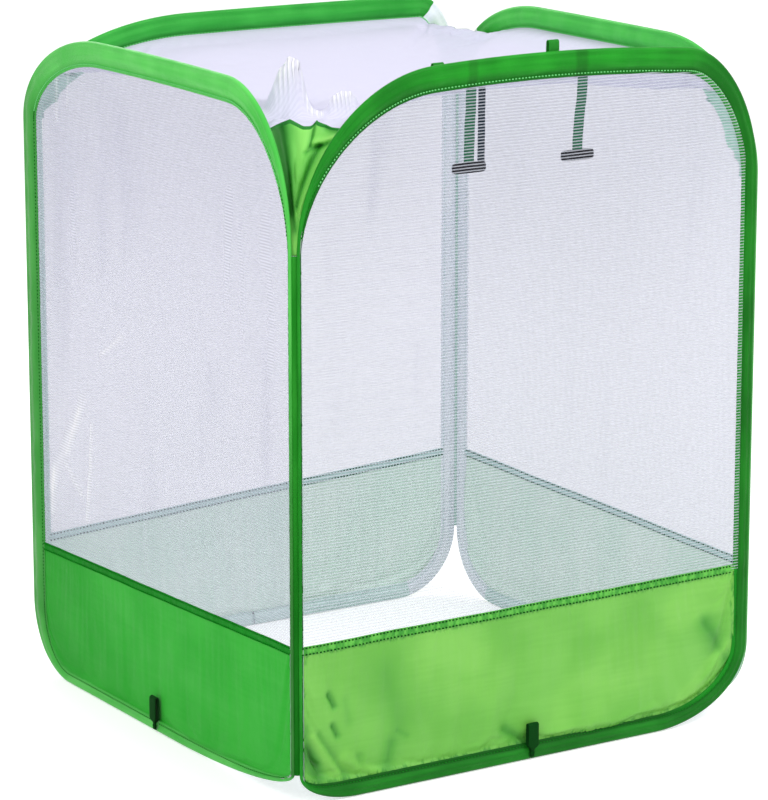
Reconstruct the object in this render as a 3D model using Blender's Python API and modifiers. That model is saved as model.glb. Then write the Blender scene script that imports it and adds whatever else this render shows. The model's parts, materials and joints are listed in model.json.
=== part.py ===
"""Pop-up mesh plant cloche: four sprung fabric walls hinged at their corner seams.

Each wall is a spring-steel hoop in a sewn sleeve, holding a mesh panel over a
solid skirt. The walls stand as a square and fold flat as a parallelogram.
Metres, +Z up, origin on the ground at the middle of the square. The front wall
faces -Y. A wall's own frame has X along the wall from its first corner, Y
towards the inside of the cloche, Z up, and Y = 0 on the hinge lines.
"""

import math

import bmesh
import bpy
from mathutils import Matrix, Vector

COLLECTION_NAME = "mesh_plant_cloche"

# Overall sizes
WALL_SPAN = 0.718
SHOULDER_HEIGHT = 0.900
SKIRT_HEIGHT = 0.208

# Running gap between neighbouring pieces, and how far cloth laps a seam
CLEARANCE = 0.0003
SEAM_LAP = 0.003

# Hoops, their crimped joints and their sleeves
WIRE_RADIUS = 0.0016
FERRULE_WALL = 0.0008
FERRULE_LENGTH = 0.030
FERRULE_SIDES = 16
HOOP_END_GAP = 0.001
SLEEVE_TUBE_RADIUS = 0.004
SLEEVE_CLOTH = 0.0009
SLEEVE_FIN_THICKNESS = 0.0024
SLEEVE_TOP_WIDTH = 0.034
SLEEVE_FOOT_WIDTH = 0.023
SLEEVE_SLOT = 0.010
SLEEVE_EASE = {"top": 0.7, "foot": 1.0}
BORE_SIDES = 8

# How far each sprung hoop bows up in the middle of its top
TOP_CROWNS = {"front": 0.024, "right": 0.002, "back": 0.003, "left": 0.007}

# The hoops at each upright seam, the wall that ends there first: how far their
# arcs reach along the two walls and how far they fall or rise, the sleeves' width
# between the arcs, and how much higher than elsewhere the skirt is sewn
CORNERS = {
    "front_left": {"top_reach": (0.151, 0.200), "top_fall": 0.198,
                   "foot_reach": (0.300, 0.087), "foot_rise": 0.041,
                   "side_width": 0.013, "skirt_rise": 0.0},
    "front_right": {"top_reach": (0.115, 0.203), "top_fall": 0.165,
                    "foot_reach": (0.150, 0.110), "foot_rise": 0.103,
                    "side_width": 0.024, "skirt_rise": 0.005},
    "back_right": {"top_reach": (0.200, 0.066), "top_fall": 0.125,
                   "foot_reach": (0.100, 0.100), "foot_rise": 0.100,
                   "side_width": 0.024, "skirt_rise": 0.015},
    "back_left": {"top_reach": (0.255, 0.219), "top_fall": 0.121,
                  "foot_reach": (0.110, 0.100), "foot_rise": 0.102,
                  "side_width": 0.024, "skirt_rise": -0.022},
}
CORNER_RING = ("front_left", "front_right", "back_right", "back_left")
WALL_RING = ("front", "right", "back", "left")
TOP_ARC_STEPS = 7
FOOT_ARC_STEPS = 5
TOP_EDGE_STEPS = 5

# Cloth
MESH_THICKNESS = 0.0008
SKIRT_THICKNESS = 0.0010
HEM_HEIGHT = 0.012
HEM_THICKNESS = 0.0022
SEAM_CORD_RADIUS = 0.0014
SEAM_CORD_SIDES = 10
SHEET_THICKNESS = 0.0008
TOP_SAG = 0.008
TOP_RINGS = 5
GUSSET_ARC_STEPS = 4
GUSSET_COLUMNS = 6
GUSSET_HOLLOW = 0.016

# Webbing loops: peg loops at the foot, tie loops on the front wall's top
WEBBING_THICKNESS = 0.0012
WEBBING_WIDTH = 0.016
LOOP_EYE = 0.005
PEG_LOOP_LENGTH = 0.046
PEG_LOOP_NECK = 0.008
PEG_HINGE_HEIGHT = 0.0045
TIE_LOOPS = {
    "left": {"place": 0.209, "stand": 0.0015, "neck": 0.010},
    "right": {"place": 0.381, "stand": 0.0135, "neck": 0.0175},
}
LOOP_TAPER = 0.006
ROUND_STEPS = 6

# Straps and toggles hanging inside the front wall
TIES = {
    "left": {"place": 0.2535, "has_tail": True},
    "right": {"place": 0.418, "has_tail": False},
}
STRAP_LENGTH = 0.100
STRAP_THICKNESS = 0.0014
STRAP_STEPS = 6
TAIL_WIDTH = 0.011
TAIL_OFFSET = 0.0180
TOGGLE_LENGTH = 0.050
TOGGLE_HEIGHT = 0.0135
TOGGLE_THICKNESS = 0.007
TOGGLE_ROUNDING = 0.0022
TOGGLE_END = 0.0015
TOGGLE_SLOT_DEPTH = 0.008

# Edges that turn more than this stay sharp
SMOOTH_ANGLE = math.radians(40.0)

# Finishes: colour as 0 to 255, roughness, metallic
FINISHES = {
    "sleeve": ((38, 150, 46), 0.38, 0.0),
    "skirt": ((92, 190, 78), 0.42, 0.0),
    "hem": ((74, 176, 66), 0.45, 0.0),
    "gusset": ((78, 182, 66), 0.35, 0.0),
    "mesh": ((224, 223, 235), 0.75, 0.0),
    "sheet": ((236, 235, 243), 0.70, 0.0),
    "peg_webbing": ((14, 84, 24), 0.70, 0.0),
    "tie_webbing": ((44, 142, 46), 0.70, 0.0),
    "strap": ((34, 120, 70), 0.70, 0.0),
    "toggle": ((28, 26, 34), 0.45, 0.0),
    "steel": ((150, 152, 156), 0.30, 1.0),
    "crimp": ((176, 178, 182), 0.35, 1.0),
}

TUBE_DEPTH = 2.0 * SLEEVE_TUBE_RADIUS
HINGE_HALF = WALL_SPAN / 2.0 - TUBE_DEPTH
HINGE_SPAN = 2.0 * HINGE_HALF
TUBE_FLAT = SLEEVE_TUBE_RADIUS * math.tan(math.pi / 8.0)
HOOP_START = (SEAM_CORD_RADIUS + CLEARANCE) * math.sqrt(2.0) - SLEEVE_TUBE_RADIUS + TUBE_FLAT
CAVITY_RADIUS = SLEEVE_TUBE_RADIUS - SLEEVE_CLOTH
FERRULE_BORE = WIRE_RADIUS + CLEARANCE
MID_PLANE = -SLEEVE_TUBE_RADIUS
FIN_INNER_FACE = MID_PLANE + SLEEVE_FIN_THICKNESS / 2.0
MESH_INNER_FACE = MID_PLANE + MESH_THICKNESS / 2.0
CLOTH_EDGE = FIN_INNER_FACE + CLEARANCE + SHEET_THICKNESS / 2.0
LOOP_HALF_DEPTH = LOOP_EYE / 2.0 + WEBBING_THICKNESS
TOP_SEAM_DEPTH = SLEEVE_TOP_WIDTH - SEAM_LAP


def clear_scene():
    for obj in list(bpy.data.objects):
        bpy.data.objects.remove(obj, do_unlink=True)


def new_collection(name):
    collection = bpy.data.collections.new(name)
    bpy.context.scene.collection.children.link(collection)
    return collection


def linear(level):
    value = level / 255.0
    return value / 12.92 if value <= 0.04045 else ((value + 0.055) / 1.055) ** 2.4


def give_finish(obj, kind):
    """A Principled material of the piece's own."""
    colour, roughness, metallic = FINISHES[kind]
    material = bpy.data.materials.new(obj.name + "_finish")
    material.use_nodes = True
    shader = material.node_tree.nodes["Principled BSDF"]
    shader.inputs["Base Color"].default_value = [linear(c) for c in colour] + [1.0]
    shader.inputs["Roughness"].default_value = roughness
    shader.inputs["Metallic"].default_value = metallic
    obj.data.materials.append(material)


class Frame:
    """An empty and its place in the world, which pieces hang from."""

    def __init__(self, name, world, parent=None):
        self.world = world
        self.empty = bpy.data.objects.new(name, None)
        PARTS.objects.link(self.empty)
        self.empty.matrix_basis = world
        if parent is not None:
            self.empty.parent = parent.empty
            self.empty.matrix_basis = parent.world.inverted() @ world

    def hang(self, obj, world):
        obj.parent = self.empty
        obj.matrix_basis = self.world.inverted() @ world


def link_piece(name, data, kind, frame, world):
    obj = bpy.data.objects.new(name, data)
    PARTS.objects.link(obj)
    frame.hang(obj, world)
    give_finish(obj, kind)
    return obj


def smooth_step(t):
    return t * t * (3.0 - 2.0 * t)


def mesh_from(name, vertices, faces):
    data = bpy.data.meshes.new(name)
    data.from_pydata(vertices, [], faces)
    shape = bmesh.new()
    shape.from_mesh(data)
    bmesh.ops.recalc_face_normals(shape, faces=shape.faces)
    shape.to_mesh(data)
    shape.free()
    data.shade_smooth()
    data.set_sharp_from_angle(angle=SMOOTH_ANGLE)
    return data


def loft(name, rings):
    """A closed solid through rings of equal count, capped at both ends."""
    count = len(rings[0])
    vertices = [point for ring in rings for point in ring]
    faces = [tuple(range(count)), tuple(range(len(vertices) - count, len(vertices)))]
    for row in range(len(rings) - 1):
        low = row * count
        for i in range(count):
            j = (i + 1) % count
            faces.append((low + i, low + j, low + count + j, low + count + i))
    return mesh_from(name, vertices, faces)


class Station:
    """A place on a hoop's outer edge, its outward direction and the sleeve's width."""

    def __init__(self, u, z, out_u, out_z, width, crown):
        rise = max(z / SHOULDER_HEIGHT * 2.0 - 1.0, 0.0)
        across = 2.0 * u / HINGE_SPAN - 1.0
        self.u = u
        self.z = z + crown * (1.0 - across * across) * rise
        length = math.hypot(out_u, out_z)
        self.out_u = out_u / length
        self.out_z = out_z / length
        self.width = width

    def inward(self, depth, y=MID_PLANE):
        """The point at a depth in from the hoop's outer edge."""
        return Vector((self.u - self.out_u * depth, y, self.z - self.out_z * depth))


def arc(centre_u, centre_z, reach, rise, first_turn, steps, width_at, crown):
    """Stations round a quarter ellipse, from first_turn quarter turns on."""
    side_first = first_turn % 2 == 0
    stations = []
    for step in range(steps + 1):
        t = step / steps
        angle = (first_turn + t) * math.pi / 2.0
        width = width_at(t if side_first else 1.0 - t)
        cos_a, sin_a = math.cos(angle), math.sin(angle)
        stations.append(Station(centre_u + reach * cos_a, centre_z + rise * sin_a,
                                cos_a / reach, sin_a / rise, width, crown))
    return stations


class Wall:
    """One wall: its corners, its frame in the world and its hoop's outline."""

    def __init__(self, name):
        turn = WALL_RING.index(name)
        self.name = name
        self.start = CORNER_RING[turn]
        self.end = CORNER_RING[(turn + 1) % 4]
        self.crown = TOP_CROWNS[name]
        corner = Vector((-HINGE_HALF, -HINGE_HALF, 0.0))
        spin = Matrix.Rotation(turn * math.pi / 2.0, 4, "Z")
        self.world = Matrix.Translation(spin @ corner) @ spin
        self.end_top_arc = self.corner_arc(self.end, "top")
        self.start_top_arc = self.corner_arc(self.start, "top")
        self.stations = self.outline()

    def corner_arc(self, corner, level):
        """The hoop's rounding at one corner, going anticlockwise seen from outside."""
        sizes = CORNERS[corner]
        side = sizes["side_width"]
        at_end = corner == self.end
        reach = sizes[level + "_reach"][0 if at_end else 1]
        centre_u = HINGE_SPAN - HOOP_START - reach if at_end else HOOP_START + reach
        edge = SLEEVE_TOP_WIDTH if level == "top" else SLEEVE_FOOT_WIDTH

        def width_at(share):
            """The sleeve's width, a share of the way from the upright to the top or foot."""
            return side + (edge - side) * smooth_step(share) ** SLEEVE_EASE[level]

        if level == "top":
            fall = sizes["top_fall"]
            return arc(centre_u, SHOULDER_HEIGHT - fall, reach, fall,
                       0 if at_end else 1, TOP_ARC_STEPS, width_at, self.crown)
        rise = sizes["foot_rise"]
        return arc(centre_u, rise, reach, rise, 3 if at_end else 2, FOOT_ARC_STEPS,
                   width_at, self.crown)

    def outline(self):
        """Stations from the slot in the foot, right round the hoop, back to the slot."""
        middle = HINGE_SPAN / 2.0
        half_slot = SLEEVE_SLOT / 2.0
        first, last = (Station(middle + offset, 0.0, 0.0, -1.0, SLEEVE_FOOT_WIDTH, self.crown)
                       for offset in (half_slot, -half_slot))
        right_u = HINGE_SPAN - HOOP_START - CORNERS[self.end]["top_reach"][0]
        left_u = HOOP_START + CORNERS[self.start]["top_reach"][1]
        top = []
        for step in range(1, TOP_EDGE_STEPS):
            u = right_u + (left_u - right_u) * step / TOP_EDGE_STEPS
            top.append(self.top_station(u))
        self.top_stations = self.end_top_arc + top + self.start_top_arc
        return ([first] + self.corner_arc(self.end, "foot") + self.top_stations
                + self.corner_arc(self.start, "foot") + [last])

    def top_station(self, u):
        """A station on the long, slightly bowed part of the hoop's top."""
        return Station(u, SHOULDER_HEIGHT, 0.0, 1.0, SLEEVE_TOP_WIDTH, self.crown)

    def skirt_line(self, below):
        """Heights of a seam across the wall at its two ends, so far below the skirt's top."""
        return [SKIRT_HEIGHT + CORNERS[corner]["skirt_rise"] - below
                for corner in (self.start, self.end)]

    def sleeve_edge(self, u):
        """Height of the top sleeve's inner edge at a place along the wall."""
        edge = [s.inward(s.width) for s in self.top_stations]
        for right, left in zip(edge, edge[1:]):
            if left.x <= u <= right.x:
                return left.z + (right.z - left.z) * (u - left.x) / (right.x - left.x)
        return edge[0].z

    def window(self):
        """Outline inside the sleeve, clear of its stitched edge."""
        points = [s.inward(s.width + CLEARANCE) for s in self.stations]
        return [(p.x, p.z) for p in points]

    def seam_point(self, station):
        """Where inner cloth is sewn to the sleeve's fin at a station, in the world."""
        return self.world @ station.inward(station.width - SEAM_LAP, CLOTH_EDGE)


def side_of(point, line):
    """How far a point of a wall lies above a line given by its heights at the wall's ends."""
    return point[1] - line[0] - (line[1] - line[0]) * point[0] / HINGE_SPAN


def clip(points, line, keep):
    """The part of a convex outline above a line, or below it where keep is -1."""
    kept = []
    for i, here in enumerate(points):
        before = points[i - 1]
        side_here = side_of(here, line) * keep
        side_before = side_of(before, line) * keep
        if side_here * side_before < 0.0:
            t = side_before / (side_before - side_here)
            kept.append(tuple(b + (h - b) * t for b, h in zip(before, here)))
        if side_here >= 0.0:
            kept.append(here)
    return kept


def flat_curve(name, outlines, thickness):
    """A flat plate with the given outlines, the later ones being holes."""
    data = bpy.data.curves.new(name, "CURVE")
    data.dimensions = "2D"
    data.fill_mode = "BOTH"
    data.extrude = thickness / 2.0
    for outline in outlines:
        spline = data.splines.new("POLY")
        spline.points.add(len(outline) - 1)
        for point, (x, y) in zip(spline.points, outline):
            point.co = (x, y, 0.0, 1.0)
        spline.use_cyclic_u = True
    return data


# Turns a flat outline drawn in XY up into a wall's plane, or across it
UPRIGHT = Matrix.Rotation(math.pi / 2.0, 4, "X")
CROSSWISE = Matrix.Rotation(math.pi / 2.0, 4, "Z") @ UPRIGHT


def add_cutter(name, data, frame, world):
    obj = bpy.data.objects.new(name, data)
    CUTTERS.objects.link(obj)
    frame.hang(obj, world)
    obj.hide_render = True
    obj.display_type = "WIRE"
    return obj


def cut(obj, cutter):
    modifier = obj.modifiers.new("cut_" + cutter.name, "BOOLEAN")
    modifier.operation = "DIFFERENCE"
    modifier.solver = "EXACT"
    modifier.object = cutter


def sleeve_section(width):
    """Depth in from the edge and offset from the mid plane, round a sewn sleeve."""
    radius = SLEEVE_TUBE_RADIUS
    half_fin = SLEEVE_FIN_THICKNESS / 2.0
    side = [(0.0, TUBE_FLAT), (radius - TUBE_FLAT, radius), (radius + TUBE_FLAT, radius),
            (TUBE_DEPTH + half_fin, half_fin), (width, half_fin)]
    return side + [(depth, -offset) for depth, offset in reversed(side)]


def ring_section(radius):
    """Depth and offset round the inside of the sleeve's tube."""
    centre = SLEEVE_TUBE_RADIUS
    turns = [math.pi * (2 * i + 1) / BORE_SIDES for i in range(BORE_SIDES)]
    return [(centre + radius * math.cos(a), radius * math.sin(a)) for a in turns]


def station_ring(station, section):
    return [station.inward(depth, MID_PLANE + offset) for depth, offset in section]


def build_sleeve(wall, frame):
    """Cloth tube with a stitched fin, open at the slot where the hoop goes in."""
    name = wall.name + "_sleeve"
    rings = [station_ring(s, sleeve_section(s.width)) for s in wall.stations]
    obj = link_piece(name, loft(name, rings), "sleeve", frame, wall.world)
    bore = [station_ring(s, ring_section(CAVITY_RADIUS)) for s in wall.stations]
    reach = Vector((SLEEVE_SLOT / 3.0, 0.0, 0.0))
    bore.insert(0, [point - reach for point in bore[0]])
    bore.append([point + reach for point in bore[-1]])
    cut(obj, add_cutter(name + "_bore", loft(name + "_bore", bore), frame, wall.world))


def build_hoop(wall, frame):
    """Spring wire round the wall, its ends butted inside a crimped ferrule."""
    name = wall.name + "_hoop"
    points = [s.inward(SLEEVE_TUBE_RADIUS) for s in wall.stations]
    middle = HINGE_SPAN / 2.0
    points[0].x = middle + HOOP_END_GAP / 2.0
    points[-1].x = middle - HOOP_END_GAP / 2.0
    data = bpy.data.curves.new(name, "CURVE")
    data.dimensions = "3D"
    data.bevel_depth = WIRE_RADIUS
    data.bevel_resolution = 2
    data.use_fill_caps = True
    spline = data.splines.new("POLY")
    spline.points.add(len(points) - 1)
    for knot, point in zip(spline.points, points):
        knot.co = (*point, 1.0)
    spline.use_smooth = True
    link_piece(name, data, "steel", frame, wall.world)


def build_ferrule(wall, frame):
    """Crimped tube over the hoop's two ends, turned about its own length."""
    name = wall.name + "_ferrule"
    outer = FERRULE_BORE + FERRULE_WALL
    half = FERRULE_LENGTH / 2.0
    profile = [(outer, 0.0, half), (outer, 0.0, -half), (FERRULE_BORE, 0.0, -half),
               (FERRULE_BORE, 0.0, half)]
    data = bpy.data.meshes.new(name)
    data.from_pydata(profile, [(0, 1), (1, 2), (2, 3), (3, 0)], [])
    centre = Vector((HINGE_SPAN / 2.0, MID_PLANE, SLEEVE_TUBE_RADIUS))
    lying = Matrix.Rotation(math.pi / 2.0, 4, "Y")
    obj = link_piece(name, data, "crimp", frame, wall.world @ Matrix.Translation(centre) @ lying)
    screw = obj.modifiers.new("turn", "SCREW")
    screw.axis = "Z"
    screw.steps = FERRULE_SIDES
    screw.render_steps = FERRULE_SIDES
    screw.use_merge_vertices = True
    screw.merge_threshold = 0.00005
    screw.use_smooth_shade = True


def build_wall_cloth(wall, frame):
    """Mesh panel, hem band and skirt, edge to edge inside the sleeve."""
    window = wall.window()
    above_hem = clip(window, wall.skirt_line(-CLEARANCE), 1.0)
    hem = clip(clip(window, wall.skirt_line(0.0), -1.0), wall.skirt_line(HEM_HEIGHT), 1.0)
    below_hem = clip(window, wall.skirt_line(HEM_HEIGHT + CLEARANCE), -1.0)
    bands = (
        ("mesh", above_hem, MESH_THICKNESS),
        ("hem", hem, HEM_THICKNESS),
        ("skirt", below_hem, SKIRT_THICKNESS),
    )
    world = wall.world @ Matrix.Translation((0.0, MID_PLANE, 0.0)) @ UPRIGHT
    for kind, outline, thickness in bands:
        name = wall.name + "_" + kind
        link_piece(name, flat_curve(name, [outline], thickness), kind, frame, world)


def build_corner_seam(corner, frame):
    """Sewn cord that joins two sleeves along a corner, the line they fold about."""
    turn = CORNER_RING.index(corner)
    low = CORNERS[corner]["foot_rise"]
    high = SHOULDER_HEIGHT - CORNERS[corner]["top_fall"]
    bpy.ops.mesh.primitive_cylinder_add(vertices=SEAM_CORD_SIDES, radius=SEAM_CORD_RADIUS,
                                        depth=high - low)
    obj = bpy.context.object
    obj.name = corner + "_seam"
    for collection in list(obj.users_collection):
        collection.objects.unlink(obj)
    PARTS.objects.link(obj)
    spin = Matrix.Rotation(turn * math.pi / 2.0, 4, "Z")
    foot = spin @ Vector((-HINGE_HALF, -HINGE_HALF, (low + high) / 2.0))
    frame.hang(obj, Matrix.Translation(foot))
    obj.data.shade_smooth()
    obj.data.set_sharp_from_angle(angle=SMOOTH_ANGLE)
    give_finish(obj, "sleeve")


def thicken(obj, thickness):
    modifier = obj.modifiers.new("cloth", "SOLIDIFY")
    modifier.thickness = thickness
    modifier.offset = 0.0


def build_gusset(corner, walls, frame):
    """Hollow cloth web that closes a top corner between two falling hoops."""
    turn = CORNER_RING.index(corner)
    before = walls[WALL_RING[turn - 1]]
    after = walls[WALL_RING[turn]]
    rising = before.end_top_arc[:GUSSET_ARC_STEPS + 1]
    falling = after.start_top_arc[::-1][:GUSSET_ARC_STEPS + 1]
    below_sheet = Vector((0.0, 0.0, -2.0 * SHEET_THICKNESS - CLEARANCE))
    widest = (before.seam_point(rising[-1]) - after.seam_point(falling[-1])).length
    vertices = []
    for a, b in zip(rising, falling):
        left = before.seam_point(a) + below_sheet
        right = after.seam_point(b) + below_sheet
        inward = -Vector((left.x + right.x, left.y + right.y, 0.0)).normalized()
        depth = GUSSET_HOLLOW * (right - left).length / widest
        for column in range(GUSSET_COLUMNS + 1):
            t = column / GUSSET_COLUMNS
            bow = 4.0 * t * (1.0 - t)
            vertices.append(left.lerp(right, t) + inward * depth * bow)
    faces = []
    row_length = GUSSET_COLUMNS + 1
    for row in range(GUSSET_ARC_STEPS):
        for column in range(GUSSET_COLUMNS):
            i = row * row_length + column
            faces.append((i, i + 1, i + 1 + row_length, i + row_length))
    name = corner + "_gusset"
    obj = link_piece(name, mesh_from(name, vertices, faces), "gusset", frame, Matrix.Identity(4))
    thicken(obj, SHEET_THICKNESS)


def build_top_sheet(walls, frame):
    """Mesh top, sewn along the hoops and cut across where they fall to the corners."""
    rim = []
    for name in WALL_RING:
        wall = walls[name]
        sewn = wall.top_stations[GUSSET_ARC_STEPS:-GUSSET_ARC_STEPS]
        rim.extend(wall.seam_point(s) for s in reversed(sewn))
        nearest = walls[WALL_RING[(WALL_RING.index(name) + 1) % 4]]
        across = nearest.seam_point(nearest.start_top_arc[-1 - GUSSET_ARC_STEPS])
        here = rim[-1]
        inward = -Vector((here.x + across.x, here.y + across.y, 0.0)).normalized()
        for column in range(1, GUSSET_COLUMNS, 2):
            t = column / GUSSET_COLUMNS
            bow = 4.0 * t * (1.0 - t)
            rim.append(here.lerp(across, t) + inward * GUSSET_HOLLOW * bow)
    middle_height = SHOULDER_HEIGHT - TOP_SEAM_DEPTH - TOP_SAG
    vertices = [Vector((0.0, 0.0, middle_height))]
    faces = []
    count = len(rim)
    for ring in range(1, TOP_RINGS + 1):
        f = ring / TOP_RINGS
        for point in rim:
            height = middle_height + (point.z - middle_height) * f ** 4
            vertices.append(Vector((point.x * f, point.y * f, height)))
    for i in range(count):
        j = (i + 1) % count
        faces.append((0, 1 + i, 1 + j))
        for ring in range(TOP_RINGS - 1):
            low = 1 + ring * count
            faces.append((low + i, low + count + i, low + count + j, low + j))
    name = "top_sheet"
    obj = link_piece(name, mesh_from(name, vertices, faces), "sheet", frame, Matrix.Identity(4))
    thicken(obj, SHEET_THICKNESS)


def half_round(centre, radius, first_angle):
    """Points of a half circle, anticlockwise from first_angle."""
    turns = [first_angle + math.pi * i / ROUND_STEPS for i in range(ROUND_STEPS + 1)]
    return [(centre[0] + radius * math.cos(a), centre[1] + radius * math.sin(a)) for a in turns]


def loop_outlines(length, neck):
    """A folded webbing loop seen on edge: its outside, and the eye between its layers."""
    half_eye = LOOP_EYE / 2.0
    opened = neck + LOOP_TAPER
    crown = length - LOOP_HALF_DEPTH
    outside = half_round((0.0, 0.0), WEBBING_THICKNESS, math.pi)
    outside += [(WEBBING_THICKNESS, neck), (LOOP_HALF_DEPTH, opened)]
    outside += half_round((0.0, crown), LOOP_HALF_DEPTH, 0.0)
    outside += [(-LOOP_HALF_DEPTH, opened), (-WEBBING_THICKNESS, neck)]
    eye = [(0.0, neck + WEBBING_THICKNESS), (half_eye, opened)]
    eye += half_round((0.0, crown), half_eye, 0.0)
    eye += [(-half_eye, opened)]
    return [outside, eye]


def build_peg_loop(wall, frame):
    """Webbing loop for a ground peg, hinged on its stitching at the foot."""
    name = wall.name + "_peg_loop"
    out = -TUBE_DEPTH - CLEARANCE - WEBBING_THICKNESS
    hinge = Matrix.Translation((HINGE_SPAN / 2.0, out, PEG_HINGE_HEIGHT))
    data = flat_curve(name, loop_outlines(PEG_LOOP_LENGTH, PEG_LOOP_NECK), WEBBING_WIDTH)
    link_piece(name, data, "peg_webbing", frame, wall.world @ hinge @ CROSSWISE)


def build_tie_loop(side, wall, frame):
    """Webbing loop that stands up behind the front wall's top sleeve."""
    name = side + "_tie_loop"
    loop = TIE_LOOPS[side]
    u = loop["place"]
    seat = TOP_SEAM_DEPTH - SHEET_THICKNESS / 2.0 - CLEARANCE - WEBBING_THICKNESS
    place = Matrix.Translation((u, LOOP_HALF_DEPTH + CLEARANCE, wall.top_station(u).z - seat))
    outlines = loop_outlines(seat + loop["stand"], loop["neck"])
    data = flat_curve(name, outlines, WEBBING_WIDTH)
    link_piece(name, data, "tie_webbing", frame, wall.world @ place @ CROSSWISE)


def strap_outline(drift):
    """A hanging strap seen on edge, round at its top and drifting into its toggle."""
    half = STRAP_THICKNESS / 2.0
    down = STRAP_LENGTH - (TOGGLE_SLOT_DEPTH - CLEARANCE)
    near, far = [], []
    for step in range(1, STRAP_STEPS + 1):
        t = step / STRAP_STEPS
        y = drift * smooth_step(t)
        near.append((y - half, -down * t))
        far.append((y + half, -down * t))
    foot = [(drift - half, -STRAP_LENGTH), (drift + half, -STRAP_LENGTH)]
    return half_round((0.0, 0.0), half, 0.0) + near + foot + far[::-1]


def build_tie(side, wall, frame):
    """Strap, tail and toggle that swing together from the top seam of the front wall."""
    tie = TIES[side]
    u = tie["place"]
    hang_y = MESH_INNER_FACE + CLEARANCE + STRAP_THICKNESS / 2.0
    drift = MESH_INNER_FACE + CLEARANCE + TOGGLE_THICKNESS / 2.0 - hang_y
    seam_height = min(wall.sleeve_edge(u + half * WEBBING_WIDTH / 2.0) for half in (-1.0, 1.0))
    hinge_height = seam_height - CLEARANCE - STRAP_THICKNESS / 2.0
    hinge_world = wall.world @ Matrix.Translation((u, hang_y, hinge_height))
    hinge = Frame(side + "_tie_hinge", hinge_world, frame)
    strap = flat_curve(side + "_tie_strap", [strap_outline(drift)], WEBBING_WIDTH)
    link_piece(side + "_tie_strap", strap, "strap", hinge, hinge_world @ CROSSWISE)

    toggle_top = -STRAP_LENGTH + TOGGLE_SLOT_DEPTH - CLEARANCE
    tail_edge = TAIL_OFFSET + TAIL_WIDTH / 2.0
    toggle_x = tail_edge + TOGGLE_END - TOGGLE_LENGTH / 2.0 if tie["has_tail"] else 0.0
    centre = Vector((toggle_x, drift, toggle_top - TOGGLE_HEIGHT / 2.0))
    bpy.ops.mesh.primitive_cube_add(size=1.0)
    obj = bpy.context.object
    obj.name = side + "_toggle"
    for collection in list(obj.users_collection):
        collection.objects.unlink(obj)
    PARTS.objects.link(obj)
    size = Matrix.Diagonal((TOGGLE_LENGTH, TOGGLE_THICKNESS, TOGGLE_HEIGHT, 1.0))
    obj.data.transform(size)
    hinge.hang(obj, hinge_world @ Matrix.Translation(centre))
    give_finish(obj, "toggle")
    bevel = obj.modifiers.new("rounding", "BEVEL")
    bevel.width = TOGGLE_ROUNDING
    bevel.segments = 2
    cut_slot(obj, hinge, hinge_world, (0.0, drift, toggle_top), WEBBING_WIDTH)
    if tie["has_tail"]:
        tail_world = hinge_world @ Matrix.Translation((TAIL_OFFSET, 0.0, 0.0))
        tail = flat_curve(side + "_tie_tail", [strap_outline(drift)], TAIL_WIDTH)
        link_piece(side + "_tie_tail", tail, "strap", hinge, tail_world @ CROSSWISE)
        cut_slot(obj, hinge, hinge_world, (TAIL_OFFSET, drift, toggle_top), TAIL_WIDTH)


def cut_slot(toggle, frame, world, mouth, strap_width):
    """Slot in a toggle's top that a strap's end is pressed into."""
    bpy.ops.mesh.primitive_cube_add(size=1.0)
    cutter = bpy.context.object
    data = cutter.data
    bpy.data.objects.remove(cutter, do_unlink=True)
    room = 2.0 * CLEARANCE
    data.transform(Matrix.Diagonal((strap_width + room, STRAP_THICKNESS + room,
                                    2.0 * TOGGLE_SLOT_DEPTH, 1.0)))
    name = "{}_slot_{}".format(toggle.name, len(toggle.modifiers))
    cut(toggle, add_cutter(name, data, frame, world @ Matrix.Translation(mouth)))


def build_cloche():
    walls = {name: Wall(name) for name in WALL_RING}
    ring = {}
    for turn, corner in enumerate(CORNER_RING):
        spin = Matrix.Rotation(turn * math.pi / 2.0, 4, "Z")
        ring[corner] = Matrix.Translation(spin @ Vector((-HINGE_HALF, -HINGE_HALF, 0.0)))
    front = Frame("front_wall_frame", Matrix.Identity(4))
    left = Frame("left_wall_hinge", ring["front_left"], front)
    right = Frame("right_wall_hinge", ring["front_right"], front)
    back = Frame("back_wall_hinge", ring["back_left"], left)
    frames = {"front": front, "right": right, "back": back, "left": left}
    for name, wall in walls.items():
        frame = frames[name]
        build_hoop(wall, frame)
        build_ferrule(wall, frame)
        build_sleeve(wall, frame)
        build_wall_cloth(wall, frame)
        build_peg_loop(wall, frame)
    carriers = {"front_left": front, "front_right": front, "back_right": right, "back_left": left}
    for corner, frame in carriers.items():
        build_corner_seam(corner, frame)
        build_gusset(corner, walls, frame)
    build_top_sheet(walls, front)
    for side in TIE_LOOPS:
        build_tie_loop(side, walls["front"], front)
    for side in TIES:
        build_tie(side, walls["front"], front)


clear_scene()
PARTS = new_collection(COLLECTION_NAME)
CUTTERS = new_collection(COLLECTION_NAME + "_cutters")
build_cloche()
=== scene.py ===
"""Looks of the pop-up mesh plant cloche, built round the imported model.

A wall's own frame has X along the wall from its first corner, Y towards the
inside of the cloche and Z up, with Y = 0 on the hinge lines. A station is a
place on a hoop's outer edge. Cloth is measured in depth, in from that edge.
"""

import json
import math

import bmesh
import bpy
import numpy as np
from mathutils import Matrix, Vector, noise


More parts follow.
